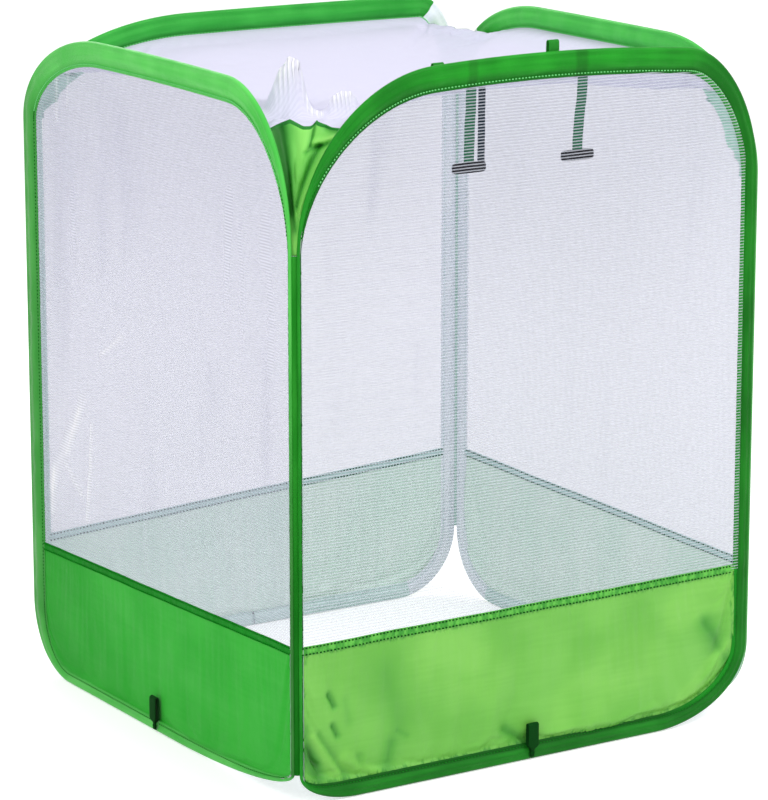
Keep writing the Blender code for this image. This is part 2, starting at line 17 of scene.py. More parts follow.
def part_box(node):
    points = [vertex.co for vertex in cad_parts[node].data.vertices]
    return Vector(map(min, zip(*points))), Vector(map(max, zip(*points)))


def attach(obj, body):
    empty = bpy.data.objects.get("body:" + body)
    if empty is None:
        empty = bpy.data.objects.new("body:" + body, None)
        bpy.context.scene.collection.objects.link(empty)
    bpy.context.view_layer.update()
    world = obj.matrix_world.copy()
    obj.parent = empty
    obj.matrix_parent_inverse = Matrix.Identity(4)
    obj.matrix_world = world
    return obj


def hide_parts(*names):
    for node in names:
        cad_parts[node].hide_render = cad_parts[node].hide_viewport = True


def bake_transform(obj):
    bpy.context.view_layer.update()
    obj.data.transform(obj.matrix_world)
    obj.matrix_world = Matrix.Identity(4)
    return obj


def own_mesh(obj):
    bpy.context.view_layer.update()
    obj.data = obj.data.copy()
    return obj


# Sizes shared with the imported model. The nearest posts' cloth is drawn in closer
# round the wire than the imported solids', so their side_width is less.
SHOULDER_HEIGHT = 0.900
SKIRT_HEIGHT = 0.208
MID_PLANE = -0.004
SHEET_EDGE = -0.0021
NARROW, WIDE = 0.0072, 0.024
FAR_POST_WIDTH = 0.033
TOP_WIDTH = 0.034
FOOT_WIDTHS = {"front": 0.023, "right": 0.023, "back": 0.023, "left": 0.0165}
WIDTH_EASE = {"top": 0.7, "foot": 1.0}
SEAM_LAP = 0.003
HEM_HEIGHT = 0.012
TOP_SAG = 0.008
TOP_CROWNS = {"front": 0.024, "right": 0.002, "back": 0.003, "left": 0.007}
CORNERS = {
    "front_left": {"top_reach": (0.151, 0.200), "top_fall": 0.198,
                   "foot_reach": (0.300, 0.087), "foot_rise": 0.041,
                   "side_width": NARROW, "skirt_rise": 0.0},
    "front_right": {"top_reach": (0.115, 0.203), "top_fall": 0.165,
                    "foot_reach": (0.150, 0.110), "foot_rise": 0.103,
                    "side_width": WIDE, "skirt_rise": 0.005},
    "back_right": {"top_reach": (0.200, 0.066), "top_fall": 0.125,
                   "foot_reach": (0.100, 0.100), "foot_rise": 0.100,
                   "side_width": WIDE, "skirt_rise": 0.015},
    "back_left": {"top_reach": (0.255, 0.219), "top_fall": 0.121,
                  "foot_reach": (0.110, 0.100), "foot_rise": 0.102,
                  "side_width": WIDE, "skirt_rise": -0.022},
}
CORNER_RING = ("front_left", "front_right", "back_right", "back_left")
WALL_RING = ("front", "right", "back", "left")

# Sleeve cloth: half thickness at shares of the way from its bead to its stitches
WIRE_DEPTH = 0.0040
BEAD_RADII = (0.0024, 0.0040)
FLANGES = (0.0014, 0.0045)
FLANGED_WIDTH = 0.013
LAPPED_FLANGE = 0.0020
FULL_WIDTHS = (0.015, 0.027)
PINCH = 0.0007
FLANGE_HALF = 0.0012
SLIT_HALF = 0.0012
SEAM_TUCK = 0.0006
SEAM_DEPTH = 0.0016
STEP = 0.0045
WIDE_SECTION = ((0.0, 0.0040), (0.14, 0.0035), (0.30, 0.0041), (0.46, 0.0050),
                (0.60, 0.0047), (0.75, 0.0034), (0.88, 0.0018), (1.0, PINCH))

# Painted light and shade on the sleeves: how light each sleeve is made on its first post, top,
# last post and foot, and how the front one's top changes along it
SLEEVE_SHADING = {"front": (0.9, 1.0, 0.64, 0.66), "right": (0.7, 1.0, 0.7, 0.6),
                "back": (0.7, 1.0, 0.7, 0.6), "left": (0.58, 1.0, 0.34, 0.94)}
TOP_SHADES = ((0.0, 0.85), (0.16, 0.86), (0.20, 1.02), (0.50, 1.0), (0.55, 0.90), (0.60, 0.76),
              (0.64, 0.68), (0.70, 0.68))
# Painted light, more of it higher up the left wall's near post
NEAR_POST_PAINTED_LIGHT = 0.60
# Painted shade on the front's top over each strap
STRAP_SHADE = 0.72
# Painted light on the front's sewn flange, by its lap
LAP_PAINTED_LIGHT = 1.6
# Painted shade on the corner seams, from their bottom to their top
NEAR_SEAM_SHADING = (0.60, 1.0)
# The sleeves are lined with pale cloth, painted light, on the inner side of their uprights
# and foot: how squarely a face looks inwards before it is lined, and how squarely up before it isn't
LINING_FACING = {"front": 0.88, "right": -0.05, "back": -0.05, "left": 0.88}
TOP_FACING = 0.80

# Stitches. Cloth narrower than STITCHED_WIDTH hides its own.
STITCH_SPACING = 0.0050
STITCHED_WIDTH = 0.0085
STITCH_LENGTH = 0.0027
STITCH_RADIUS = 0.0009
STITCH_INSET = 0.0006
SIDE_STITCH_RADIUS = 0.0006
STITCH_PROFILE = ((-0.5, 0.25), (-0.32, 1.0), (0.32, 1.0), (0.5, 0.25))
STITCH_SIDES = 5
HEM_STITCH_SPACING = 0.0052
HEM_STITCH_RADIUS = 0.0010
HEM_ROWS = (0.0018, 0.0102)
TACK_STITCHES = 14

# Wall cloth
NET_PITCH = 0.0039
NET_LAP = 0.0045
HEM_HALF = 0.0011
HEM_PROFILE = ((0.0, 0.0), (0.0006, 0.8), (0.0020, 0.75), (0.0030, 1.0), (0.0060, 1.15),
               (0.0090, 1.0), (0.0100, 0.75), (0.0114, 0.8), (HEM_HEIGHT, 0.0))
SKIRT_CLOTH = 0.0006
SKIRT_SHADE = 85.0
# Creases of the walls' cloth: from u, z to u, z, width and depth, which also sets the skirts' painted
# shade, or whiteness, the nets' painted highlight
SKIRT_CREASES = {
    "front": ((0.004, 0.080, 0.030, 0.053, 0.006, 0.0070), (0.045, 0.140, 0.053, 0.124, 0.004, 0.0060),
              (0.051, 0.099, 0.058, 0.085, 0.004, 0.0055), (0.130, 0.155, 0.147, 0.090, 0.022, 0.0018),
              (0.008, 0.100, 0.034, 0.040, 0.007, 0.0040), (0.140, 0.060, 0.132, 0.018, 0.010, 0.0035),
              (0.090, 0.050, 0.100, 0.022, 0.006, 0.0030), (0.068, 0.130, 0.075, 0.100, 0.006, 0.0015),
              (0.010, 0.060, 0.030, 0.030, 0.010, 0.0040), (0.022, 0.088, 0.056, 0.036, 0.007, -0.0045),
              (0.030, 0.090, 0.070, 0.030, 0.006, 0.0035), (0.070, 0.052, 0.118, 0.018, 0.008, -0.0040),
              (0.148, 0.076, 0.163, 0.0655, 0.0035, 0.002), (0.315, 0.046, 0.344, 0.026, 0.008, 0.0045),
              (0.600, 0.038, 0.668, 0.100, 0.009, -0.0050), (0.632, 0.140, 0.677, 0.070, 0.012, 0.0050),
              (0.590, 0.160, 0.660, 0.180, 0.020, -0.0030), (0.420, 0.060, 0.520, 0.110, 0.030, -0.0025),
              (0.200, 0.170, 0.280, 0.130, 0.030, -0.0025)),
    "right": ((0.10, 0.06, 0.20, 0.12, 0.020, 0.004), (0.55, 0.05, 0.64, 0.12, 0.015, -0.004)),
    "back": ((0.12, 0.10, 0.22, 0.05, 0.020, 0.004), (0.58, 0.06, 0.66, 0.13, 0.015, 0.004)),
    "left": ((0.56, 0.05, 0.67, 0.10, 0.020, -0.002), (0.40, 0.10, 0.50, 0.06, 0.025, 0.0015)),
}
NET_CREASES = {
    "left": ((0.209, 0.486, 0.274, 0.524, 0.003, 0.6), (0.156, 0.413, 0.060, 0.274, 0.010, 0.35),
             (0.182, 0.385, 0.166, 0.249, 0.0035, 0.7), (0.107, 0.316, 0.150, 0.281, 0.004, 0.5),
             (0.070, 0.300, 0.060, 0.240, 0.008, 0.5), (0.150, 0.400, 0.110, 0.330, 0.004, 0.5),
             (0.095, 0.850, 0.100, 0.790, 0.004, 0.4), (0.130, 0.860, 0.128, 0.810, 0.003, 0.3)),
}

# Gussets. A fold runs from share and rise to share and rise, with its width and its
# depth inwards. The nearest rim's zig-zag is shares of the way across and lifts.
GUSSET_SHARE = 4.0 / 7.0
GUSSET_COLUMNS = 48
GUSSET_HOLLOW = 0.016
GUSSET_LIFT = 0.005
# How much painted shade each metre of fold depth gives the gusset
GUSSET_SHADE = 75.0
GUSSET_CLOTH = 0.0005
GUSSET_ASPECT = 1.75
GUSSET_FOLDS = ((0.17, 0.30, 0.14, 1.0, 0.050, 0.010), (0.42, 0.10, 0.42, 0.95, 0.14, -0.004),
                (0.53, 0.80, 0.53, 1.0, 0.018, 0.009), (0.58, 0.84, 0.97, 0.99, 0.030, -0.005),
                (0.66, 0.97, 0.92, 0.95, 0.035, 0.006), (0.26, 0.20, 0.20, 1.0, 0.150, 0.0045),
                (0.50, 0.76, 0.85, 0.88, 0.030, 0.006), (0.86, 0.84, 0.62, 0.30, 0.045, -0.007),
                (0.66, 0.82, 0.44, 0.34, 0.035, 0.007), (0.12, 0.40, 0.45, 0.18, 0.040, 0.005))
RIM_ROWS = 2
RIM_SHARES = (0.0, 0.07, 0.27, 0.41, 0.49, 0.54, 0.70, 0.82, 0.87, 1.0)
RIM_LIFTS = (0.0, 0.002, 0.010, 0.0005, 0.0, 0.007, -0.001, -0.001, 0.0025, 0.001)

# Folds on the top: they run away from the nearest corner along FOLD_WAY. Each
# gather has its place along and across, its length, width, height and pleats.
FOLD_WAY = (0.536, 0.844)
GATHERS = ((0.172, -0.010, 0.036, 0.0225, 0.0705, 0.0014),
           (0.165, 0.057, 0.028, 0.021, 0.029, 0.0008),
           (0.150, 0.022, 0.020, 0.014, 0.006, 0.0005))
PLEAT = 0.013
FINE_PLEAT = 0.0055
CREASE_MIDDLE = (0.136, -0.116)
CREASE_RADIUS = 0.085
CREASE_WIDTH = 0.010
CREASE_RISE = 0.005

# Webbing loops, straps and toggles
WEBBING_WIDTH = 0.016
WEBBING_THICKNESS = 0.0012
LOOP_EYE = 0.005
LOOP_TAPER = 0.006
PEG_LOOP_LENGTH = 0.046
PEG_LOOP_NECK = 0.008
PEG_HINGE_HEIGHT = 0.0045
PEG_CLEARANCE = 0.0003
PEG_PINCH = 0.36
PINCH_LEVEL, PINCH_RISE = 0.010, 0.006
TIE_LOOP_NECKS = {"left": 0.010, "right": 0.0175}
TIES = {
    "left": {"place": 0.2535, "has_tail": True, "lean": 0.001},
    "right": {"place": 0.418, "has_tail": False, "lean": 0.005},
}
STRAP_LENGTH = 0.100
STRAP_THICKNESS = 0.0014
TAIL_WIDTH = 0.011
TAIL_OFFSET = 0.018
TOGGLE = (0.050, 0.007, 0.0135)
TOGGLE_SLOT_DEPTH = 0.008
TOGGLE_GROOVE = 0.86

# Cloth simulation
SETTLE_FRAMES = 26
SETTLE_LIMIT = 0.007
SETTLE_CLOTH = {"quality": 5, "mass": 0.12, "tension_stiffness": 12.0,
                "compression_stiffness": 12.0, "shear_stiffness": 6.0,
                "bending_stiffness": 0.02, "vertex_group_mass": "pins"}

# Camera, fitted to the hoops' outlines: turn, tilt and distance in wall heights
CAMERA_TURN = -0.5661
CAMERA_TILT = 0.2337
CAMERA_DISTANCE = 5.5459
CAMERA_SIDE = 0.0007
CAMERA_RISE = -0.045
FOCAL_PIXELS = 3689.5
PHOTO_HEIGHT = 800
SENSOR = 36.0

# Stage: each lamp's place, the height it aims at, its size and power
LAMPS = {
    "key": ((1.2, -2.4, 3.2), 0.4, 1.2, 60.0),
    "fill": ((-2.6, -1.2, 2.4), 0.5, 1.8, 32.0),
    "back": ((0.4, 2.8, 2.4), 0.6, 2.0, 25.0),
}
FLOOR_SIZE = 60.0
FLOOR_DROP = 0.0005
FLOOR_COLOUR = (0.86, 0.86, 0.86, 1.0)
FLOOR_GLOW = 0.45
SKY_LIGHT = 0.70
WHITE = (1.0, 1.0, 1.0, 1.0)

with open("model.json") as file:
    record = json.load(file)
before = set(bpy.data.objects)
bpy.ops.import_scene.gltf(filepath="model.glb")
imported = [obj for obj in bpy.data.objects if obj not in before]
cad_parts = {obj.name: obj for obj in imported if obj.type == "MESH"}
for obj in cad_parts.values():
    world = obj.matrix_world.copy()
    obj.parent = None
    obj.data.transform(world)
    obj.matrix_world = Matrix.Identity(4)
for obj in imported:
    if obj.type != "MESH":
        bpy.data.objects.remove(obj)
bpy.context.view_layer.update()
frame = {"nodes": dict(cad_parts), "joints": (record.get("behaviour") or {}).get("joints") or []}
JOINTS = {joint["name"]: joint for joint in frame["joints"]}
HINGE_HALF = -JOINTS["left_fold"]["pos_m"][0]
SPAN = 2.0 * HINGE_HALF


def smooth(t):
    t = np.clip(t, 0.0, 1.0)
    return t * t * (3.0 - 2.0 * t)


def ease(t):
    """The smooth step of one number."""
    return float(smooth(t))


def creases(lines, x, y, power=1.5):
    """Sum of soft ridges along lines, each from x, y to x, y with its width and amount."""
    total = np.zeros(np.shape(x))
    for ax, ay, bx, by, width, amount in lines:
        dx, dy = bx - ax, by - ay
        t = np.clip(((x - ax) * dx + (y - ay) * dy) / (dx * dx + dy * dy), 0.0, 1.0)
        away = np.hypot(x - ax - dx * t, y - ay - dy * t)
        total = total + amount * np.exp(-(away / width) ** power)
    return total


def ripple(x, y, seed, octaves=2):
    """Smooth noise from -1 to 1."""
    return noise.fractal(Vector((x, y, seed * 7.3)), 0.8, 2.1, octaves)


# Walls


class Station:
    """A place on a hoop's outer edge: the way out from it and its cloth's width."""

    def __init__(self, u, z, out_u, out_z, width, crown=0.0):
        rise = max(z / SHOULDER_HEIGHT * 2.0 - 1.0, 0.0)
        across = 2.0 * u / SPAN - 1.0
        self.u = u
        self.z = z + crown * (1.0 - across * across) * rise
        length = math.hypot(out_u, out_z)
        self.out_u = out_u / length
        self.out_z = out_z / length
        self.width = width
        self.run = 0.0
        self.lap = 0.0

    def bead(self):
        return float(np.interp(self.width, (NARROW, WIDE), BEAD_RADII))

    def seam_depth(self):
        """Depth of the stitches that close the sleeve."""
        flange = float(np.interp(self.width, (NARROW, FLANGED_WIDTH), FLANGES))
        return self.width - flange - LAPPED_FLANGE * self.lap

    def inward(self, depth, y=MID_PLANE):
        return Vector((self.u - self.out_u * depth, y, self.z - self.out_z * depth))

    def towards(self, other, t):
        """The station a share t of the way to another."""
        made = Station(self.u, self.z, self.out_u + (other.out_u - self.out_u) * t,
                       self.out_z + (other.out_z - self.out_z) * t,
                       self.width + (other.width - self.width) * t)
        made.u = self.u + (other.u - self.u) * t
        made.z = self.z + (other.z - self.z) * t
        return made


class Wall:
    """One flat wall: where it stands and the stations round its hoop."""

    def __init__(self, name):
        turn = WALL_RING.index(name)
        self.name = name
        self.body = name + "_wall"
        self.start = CORNER_RING[turn]
        self.end = CORNER_RING[(turn + 1) % 4]
        self.crown = TOP_CROWNS[name]
        self.foot_width = FOOT_WIDTHS[name]
        corner = Vector((-HINGE_HALF, -HINGE_HALF, 0.0))
        spin = Matrix.Rotation(turn * math.pi / 2.0, 4, "Z")
        self.world = Matrix.Translation(spin @ corner) @ spin
        self.normal = (spin @ Vector((0.0, 1.0, 0.0, 0.0))).xyz
        self.end_top = self.arc(self.end, "top")
        self.start_top = self.arc(self.start, "top")
        self.stations = self.outline()

    def arc(self, corner, level, steps=56):
        """Stations round one corner, going anticlockwise seen from outside."""
        sizes = CORNERS[corner]
        at_end = corner == self.end
        reach = sizes[level + "_reach"][0 if at_end else 1]
        rise = sizes["top_fall" if level == "top" else "foot_rise"]
        edge = TOP_WIDTH if level == "top" else self.foot_width
        side = sizes["side_width"]
        if (self.name, corner) == ("left", "back_left"):
            side = FAR_POST_WIDTH
        side_first = at_end == (level == "top")
        turn = {("top", True): 0, ("top", False): 1, ("foot", False): 2, ("foot", True): 3}
        centre_u = SPAN - reach if at_end else reach
        centre_z = SHOULDER_HEIGHT - rise if level == "top" else rise
        stations = []
        for step in range(steps + 1):
            t = step / steps
            angle = (turn[(level, at_end)] + t) * math.pi / 2.0
            c, s = math.cos(angle), math.sin(angle)
            share = ease(t if side_first else 1.0 - t) ** WIDTH_EASE[level]
            width = side + (edge - side) * share
            stations.append(Station(centre_u + reach * c, centre_z + rise * s,
                                    c / reach, s / rise, width, self.crown))
        return stations

    def outline(self):
        """Stations from the slit in the foot, right round, evenly close together."""
        middle = SPAN / 2.0
        coarse = [Station(middle + SLIT_HALF, 0.0, 0.0, -1.0, self.foot_width)]
        coarse += self.arc(self.end, "foot") + self.end_top
        right, left = self.end_top[-1].u, self.start_top[0].u
        runs = int((right - left) / STEP)
        for step in range(1, runs):
            u = right + (left - right) * step / runs
            coarse.append(Station(u, SHOULDER_HEIGHT, 0.0, 1.0, TOP_WIDTH, self.crown))
        coarse += self.start_top + self.arc(self.start, "foot")
        coarse.append(Station(middle - SLIT_HALF, 0.0, 0.0, -1.0, self.foot_width))
        fine = [coarse[0]]
        for a, b in zip(coarse, coarse[1:]):
            length = math.hypot(b.u - a.u, b.z - a.z)
            if length < 1e-6:
                continue
            pieces = max(1, round(length / STEP))
            fine.extend(a.towards(b, step / pieces) for step in range(1, pieces + 1))
        for a, b in zip(fine, fine[1:]):
            b.run = a.run + math.hypot(b.u - a.u, b.z - a.z)
        if self.name == "front":
            for station in fine:
                station.lap = ease(station.out_u / 0.5)
        return fine

    def is_farthest(self, station):
        """Whether a place is on one of the posts at the corner opposite the camera."""
        side = {"right": 1.0, "back": -1.0}.get(self.name, 0.0)
        return station.out_u * side > 0.2

    def skirt_line(self, below=0.0):
        """Height of a seam across the wall, so far below the skirt's top, at a place."""
        first, last = (SKIRT_HEIGHT + CORNERS[c]["skirt_rise"] for c in (self.start, self.end))
        return lambda u: first + (last - first) * u / SPAN - below


# Meshes


def mesh_object(name, vertices, faces, uvs=None):
    """A mesh object in place, with cloth coordinates in metres where they are given."""
    data = bpy.data.meshes.new(name)
    data.from_pydata([tuple(v) for v in vertices], [], faces)
    if uvs is not None:
        layer = data.uv_layers.new(name="cloth")
        loops = np.zeros(len(data.loops), np.int32)
        data.loops.foreach_get("vertex_index", loops)
        layer.data.foreach_set("uv", np.asarray(uvs, np.float32)[loops].ravel())
    data.shade_smooth()
    obj = bpy.data.objects.new(name, data)
    bpy.context.scene.collection.objects.link(obj)
    return obj


def set_tone(obj, tones, name="tone"):
    """Stores for each vertex its cloth's painted light and shade, or how gathered it is."""
    layer = obj.data.attributes.new(name, "FLOAT", "POINT")
    layer.data.foreach_set("value", np.asarray(tones, np.float32))


def grid_faces(rows, columns, closed=False):
    """Quads of a grid stored row by row, joined round where it is closed."""
    faces = []
    for row in range(rows - 1):
        for column in range(columns if closed else columns - 1):
            after = (column + 1) % columns
            a, b = row * columns + column, row * columns + after
            faces.append((a, b, b + columns, a + columns))
    return faces


def tube_faces(rings, sides):
    """Faces of a tube stored ring by ring, with both of its ends capped."""
    last = (rings - 1) * sides
    caps = [tuple(reversed(range(sides))), tuple(range(last, last + sides))]
    return grid_faces(rings, sides, closed=True) + caps


def tube(name, vertices, sides, uvs=None):
    """A capped tube from its rings' vertices, with its faces turned outwards."""
    obj = mesh_object(name, vertices, tube_faces(len(vertices) // sides, sides), uvs)
    shape = bmesh.new()
    shape.from_mesh(obj.data)
    bmesh.ops.recalc_face_normals(shape, faces=shape.faces)
    shape.to_mesh(obj.data)
    shape.free()
    return obj


def border(rows, columns):
    """Indices of the vertices round a grid's edge."""
    return [row * columns + column for row in range(rows) for column in range(columns)
            if row in (0, rows - 1) or column in (0, columns - 1)]


def thicken(obj, thickness, *linings):
    """Gives a sheet its thickness, and each of its materials a lining on the back."""
    for lining in linings:
        obj.data.materials.append(lining)
    modifier = obj.modifiers.new("cloth", "SOLIDIFY")
    modifier.thickness = thickness
    modifier.offset = 0.0
    modifier.material_offset = len(linings)


def finish_piece(obj, body, material, slot, *nodes):
    """Gives a piece its material, the body that it rides on and the nodes it replaces."""
    obj.data.materials.append(material)
    if body is not None:
        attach(obj, body)
    if nodes:
        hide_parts(*nodes)


def stitch_mesh(name, stitches, length, radius):
    """Short stitches, each a little spindle: its middle, the way along and the way out."""
    vertices, faces = [], []
    spindle = tube_faces(len(STITCH_PROFILE), STITCH_SIDES)
    for centre, forward, out in stitches:
        across = forward.cross(out).normalized()
        base = len(vertices)
        for place, share in STITCH_PROFILE:
            for side in range(STITCH_SIDES):
                angle = 2.0 * math.pi * side / STITCH_SIDES
                ring = (across * math.cos(angle) + out * math.sin(angle)) * radius * share
                vertices.append(centre + forward * length * place + ring)
        faces.extend(tuple(base + i for i in face) for face in spindle)
    return mesh_object(name, vertices, faces)


def evenly(points, count=None, spacing=0.0015):
    """Places along a broken line: so many, or else about so far apart."""
    runs = np.concatenate([[0.0], np.cumsum([(b - a).length for a, b in zip(points, points[1:])])])
    wanted = np.linspace(0.0, runs[-1], count or max(3, int(runs[-1] / spacing)))
    coords = np.array([tuple(p) for p in points])
    return [Vector([float(np.interp(w, runs, coords[:, k])) for k in range(3)]) for w in wanted]


# Materials


def linear(level):
    value = level / 255.0
    return value / 12.92 if value <= 0.04045 else ((value + 0.055) / 1.055) ** 2.4


def rgb(red, green, blue):
    return (linear(red), linear(green), linear(blue), 1.0)


class Nodes:
    """Short names for making a material's nodes."""

    def __init__(self, name):
        self.material = bpy.data.materials.new(name)
        self.material.use_nodes = True
        self.tree = self.material.node_tree
        self.shader = self.tree.nodes["Principled BSDF"]

    def add(self, kind, **values):
        node = self.tree.nodes.new(kind)
        for key, value in values.items():
            setattr(node, key, value)
        return node

    def place(self, target, value):
        """Sets a socket to a plain value, or links another node's output to it."""
        if isinstance(value, (int, float, tuple)):
            target.default_value = value
        else:
            self.tree.links.new(value, target)

    def fill(self, node, values):
        """Gives a node its first inputs in order, and returns its first output."""
        for socket, value in zip(node.inputs, values):
            self.place(socket, value)
        return node.outputs[0]

    def math(self, operation, *values):
        return self.fill(self.add("ShaderNodeMath", operation=operation), values)

    def times(self, a, b):
        return self.math("MULTIPLY", a, b)

    def plus(self, a, b):
        return self.math("ADD", a, b)

    def spread(self, value, low, high, new_low, new_high):
        node = self.add("ShaderNodeMapRange", interpolation_type="SMOOTHSTEP")
        return self.fill(node, (value, low, high, new_low, new_high))

    def cloth_place(self):
        """Cloth coordinates in metres: along, up."""
        split = self.add("ShaderNodeSeparateXYZ")
        self.fill(split, (self.add("ShaderNodeUVMap", uv_map="cloth").outputs[0],))
        return split.outputs[0], split.outputs[1]

    def scaled_place(self, source, scale):
        node = self.add("ShaderNodeMapping")
        self.place(node.inputs["Vector"], source)
        self.place(node.inputs["Scale"], scale)
        return node.outputs[0]

    def cloth_noise(self, scale_x, scale_y, detail=3.0):
        source = self.add("ShaderNodeUVMap", uv_map="cloth").outputs[0]
        return self.noise(self.scaled_place(source, (scale_x, scale_y, 1.0)), detail)

    def solid_noise(self, scale, detail):
        source = self.add("ShaderNodeTexCoord").outputs["Object"]
        return self.noise(self.scaled_place(source, (scale, scale, scale)), detail)

    def noise(self, vector, detail):
        node = self.add("ShaderNodeTexNoise")
        for name, value in (("Vector", vector), ("Scale", 1.0), ("Detail", detail),
                            ("Roughness", 0.5)):
            self.place(node.inputs[name], value)
        return node.outputs["Fac"]

    def lines(self, coordinate, pitch, softness=0.25, middle=0.0):
        """1 on a thread and 0 between threads, across a coordinate in metres."""
        turn = self.times(coordinate, 2.0 * math.pi / pitch)
        return self.spread(self.math("SINE", turn), middle - softness, middle + softness, 0.0, 1.0)

    def tone(self, name="tone"):
        return self.add("ShaderNodeAttribute", attribute_name=name).outputs["Fac"]

    def shaded(self, colour, tone):
        """Paints shade on a green cloth by its tone, and light where the tone is over 1, keeping the
        green rich.
        """
        rich = self.add("ShaderNodeCombineXYZ")
        self.fill(rich, [self.math("POWER", tone, power) for power in (2.0, 1.0, 1.6)])
        node = self.add("ShaderNodeVectorMath", operation="MULTIPLY")
        return self.fill(node, (colour, rich.outputs[0]))

    def scaled(self, colour, factor):
        node = self.add("ShaderNodeVectorMath", operation="SCALE")
        self.place(node.inputs["Scale"], factor)
        return self.fill(node, (colour,))

    def mix(self, factor, first, second):
        node = self.add("ShaderNodeMix", data_type="RGBA")
        for name, value in (("Factor", factor), ("A", first), ("B", second)):
            self.place(node.inputs[name], value)
        return next(o for o in node.outputs if o.type == "RGBA")

    def finish(self, bump=None, distance=0.0, strength=1.0, **sockets):
        """Sets the shader's sockets and bump, and returns the material."""
        for key, value in sockets.items():
            self.place(self.shader.inputs[key.replace("_", " ")], value)
        if bump is not None:
            node = self.add("ShaderNodeBump")
            for name, value in (("Height", bump), ("Distance", distance), ("Strength", strength)):
                self.place(node.inputs[name], value)
            self.place(self.shader.inputs["Normal"], node.outputs[0])
        return self.material


def woven_cloth(name, shade, light, roughness=0.42, gloss=0.25, streaks=0.4, seam_shade=None,
                grain=(160.0, 6.0), toned=False, puckered=False):
    """Tight woven polyester: fine crossed threads, soft streaks and clouded colour.

    seam_shade, for sleeves, is painted shade on the half that turns in towards the stitches, and a
    sleeve's colour is scaled by its tone, its painted light and shade. A toned cloth is scaled by its
    tone, painted light and shade, and a puckered one has painted shade in its creases and is crimped
    where its tone is 1, with painted shade in the crimps.
    """
    n = Nodes(name)
    shade, light = rgb(*shade), rgb(*light)
    cloud = n.cloth_noise(9.0, 9.0, 2.0)
    streak = n.cloth_noise(*grain, 2.0)
    tone = n.plus(n.times(cloud, 1.0 - streaks), n.times(streak, streaks))
    colour = n.mix(n.spread(tone, 0.35, 0.65, 0.0, 1.0), shade, light)
    along, up = n.cloth_place()
    # Painted shade on the turned-in half, then the sleeve's painted light and shade from its tone
    if seam_shade is not None:
        wander = n.times(n.cloth_noise(12.0, 30.0), 0.010)
        turned = n.spread(n.plus(up, wander), 0.027, 0.034, 0.0, 1.0)
        dark = tuple(c * seam_shade for c in shade[:3]) + (1.0,)
        colour = n.scaled(n.mix(turned, colour, dark), n.tone())
    # Painted light and shade from the tone, or for puckered skirts painted shade in their creases
    if toned or puckered:
        colour = n.shaded(colour, n.tone("tone" if toned else "shade"))
    threads = n.plus(n.lines(along, 0.0008, 1.0), n.lines(up, 0.0008, 1.0))
    crumple = n.cloth_noise(70.0, 70.0, 4.0)
    height = n.plus(n.times(threads, 0.08), n.times(crumple, 0.9))
    # Crimps where the tone is 1, with painted shade in them besides their bump
    if puckered:
        crimp = n.spread(n.cloth_noise(190.0, 60.0, 2.0), 0.35, 0.7, 0.0, 1.0)
        pucker = n.times(crimp, n.tone())
        colour = n.shaded(colour, n.spread(pucker, 0.2, 0.9, 1.0, 0.6))
        height = n.math("SUBTRACT", height, n.times(pucker, 1.6))
    rough = n.spread(n.cloth_noise(25.0, 25.0), 0.3, 0.7, roughness - 0.05, roughness + 0.06)
    return n.finish(height, 0.0007, Base_Color=colour, Roughness=rough, Specular_IOR_Level=gloss)


def net_cloth(name, gap, thread, tint, pale, share=0.45, folds=0.03, creased=False):
    """Fine insect net: rows of pale threads with gaps and faint cross threads.

    share is the threads' part of the pitch. A creased net is denser and painted white where its tone is
    1, a painted highlight along its creases.
    """
    n = Nodes(name)
    along, up = n.cloth_place()
    drift = n.times(n.cloth_noise(4.0, 1.5, 0.0), NET_PITCH * 0.4)
    rows = n.lines(n.plus(up, drift), NET_PITCH, 0.35, math.cos(math.pi * share))
    fine = n.lines(along, NET_PITCH * 0.5, 1.0)
    cover = n.plus(n.times(rows, thread - gap), n.times(fine, 0.015))
    fold = n.spread(n.cloth_noise(16.0, 2.2, 2.0), 0.55, 0.75, 0.0, folds)
    alpha = n.plus(n.plus(cover, gap), fold)
    colour = n.mix(rows, rgb(*tint), rgb(*pale))
    # Painted highlight along the creases
    if creased:
        alpha = n.plus(alpha, n.times(n.tone(), 0.45))
        colour = n.mix(n.tone(), colour, WHITE)
    return n.finish(rows, 0.0002, 0.15, Alpha=n.math("MINIMUM", alpha, 1.0), Base_Color=colour,
                    Roughness=0.75, Specular_IOR_Level=0.1)


def gathered_net(name, gap, thread, tint, pale):
    """The top's closer net, drawn into fine pleats and nearly solid where its tone is 1, and painted
    near white there, a painted highlight, lighter and darker across its pleats as painted light and
    shade.
    """
    n = Nodes(name)
    x, y = n.cloth_place()
    rows = n.times(n.lines(y, NET_PITCH, 0.5), n.math("SUBTRACT", 1.0, n.tone()))
    across = n.math("SUBTRACT", n.times(x, FOLD_WAY[1]), n.times(y, FOLD_WAY[0]))
    wander = n.times(n.cloth_noise(14.0, 14.0), FINE_PLEAT * 3.0)
    pleats = n.lines(n.plus(across, wander), FINE_PLEAT, 1.0)
    drawn = n.times(pleats, n.tone())
    crush = n.cloth_noise(30.0, 30.0, 4.0)
    alpha = n.plus(n.times(rows, thread - gap), gap)
    alpha = n.math("MAXIMUM", alpha, n.times(n.tone(), 0.97))
    # Painted highlight on the gathers, with painted light and shade across the pleats
    bright = n.mix(drawn, rgb(226, 225, 239), rgb(246, 246, 252))
    colour = n.mix(n.tone(), n.mix(rows, rgb(*tint), rgb(*pale)), bright)
    return n.finish(n.plus(n.times(drawn, 0.6), crush), 0.0022, Alpha=alpha, Base_Color=colour,
                    Roughness=0.75, Specular_IOR_Level=0.1)


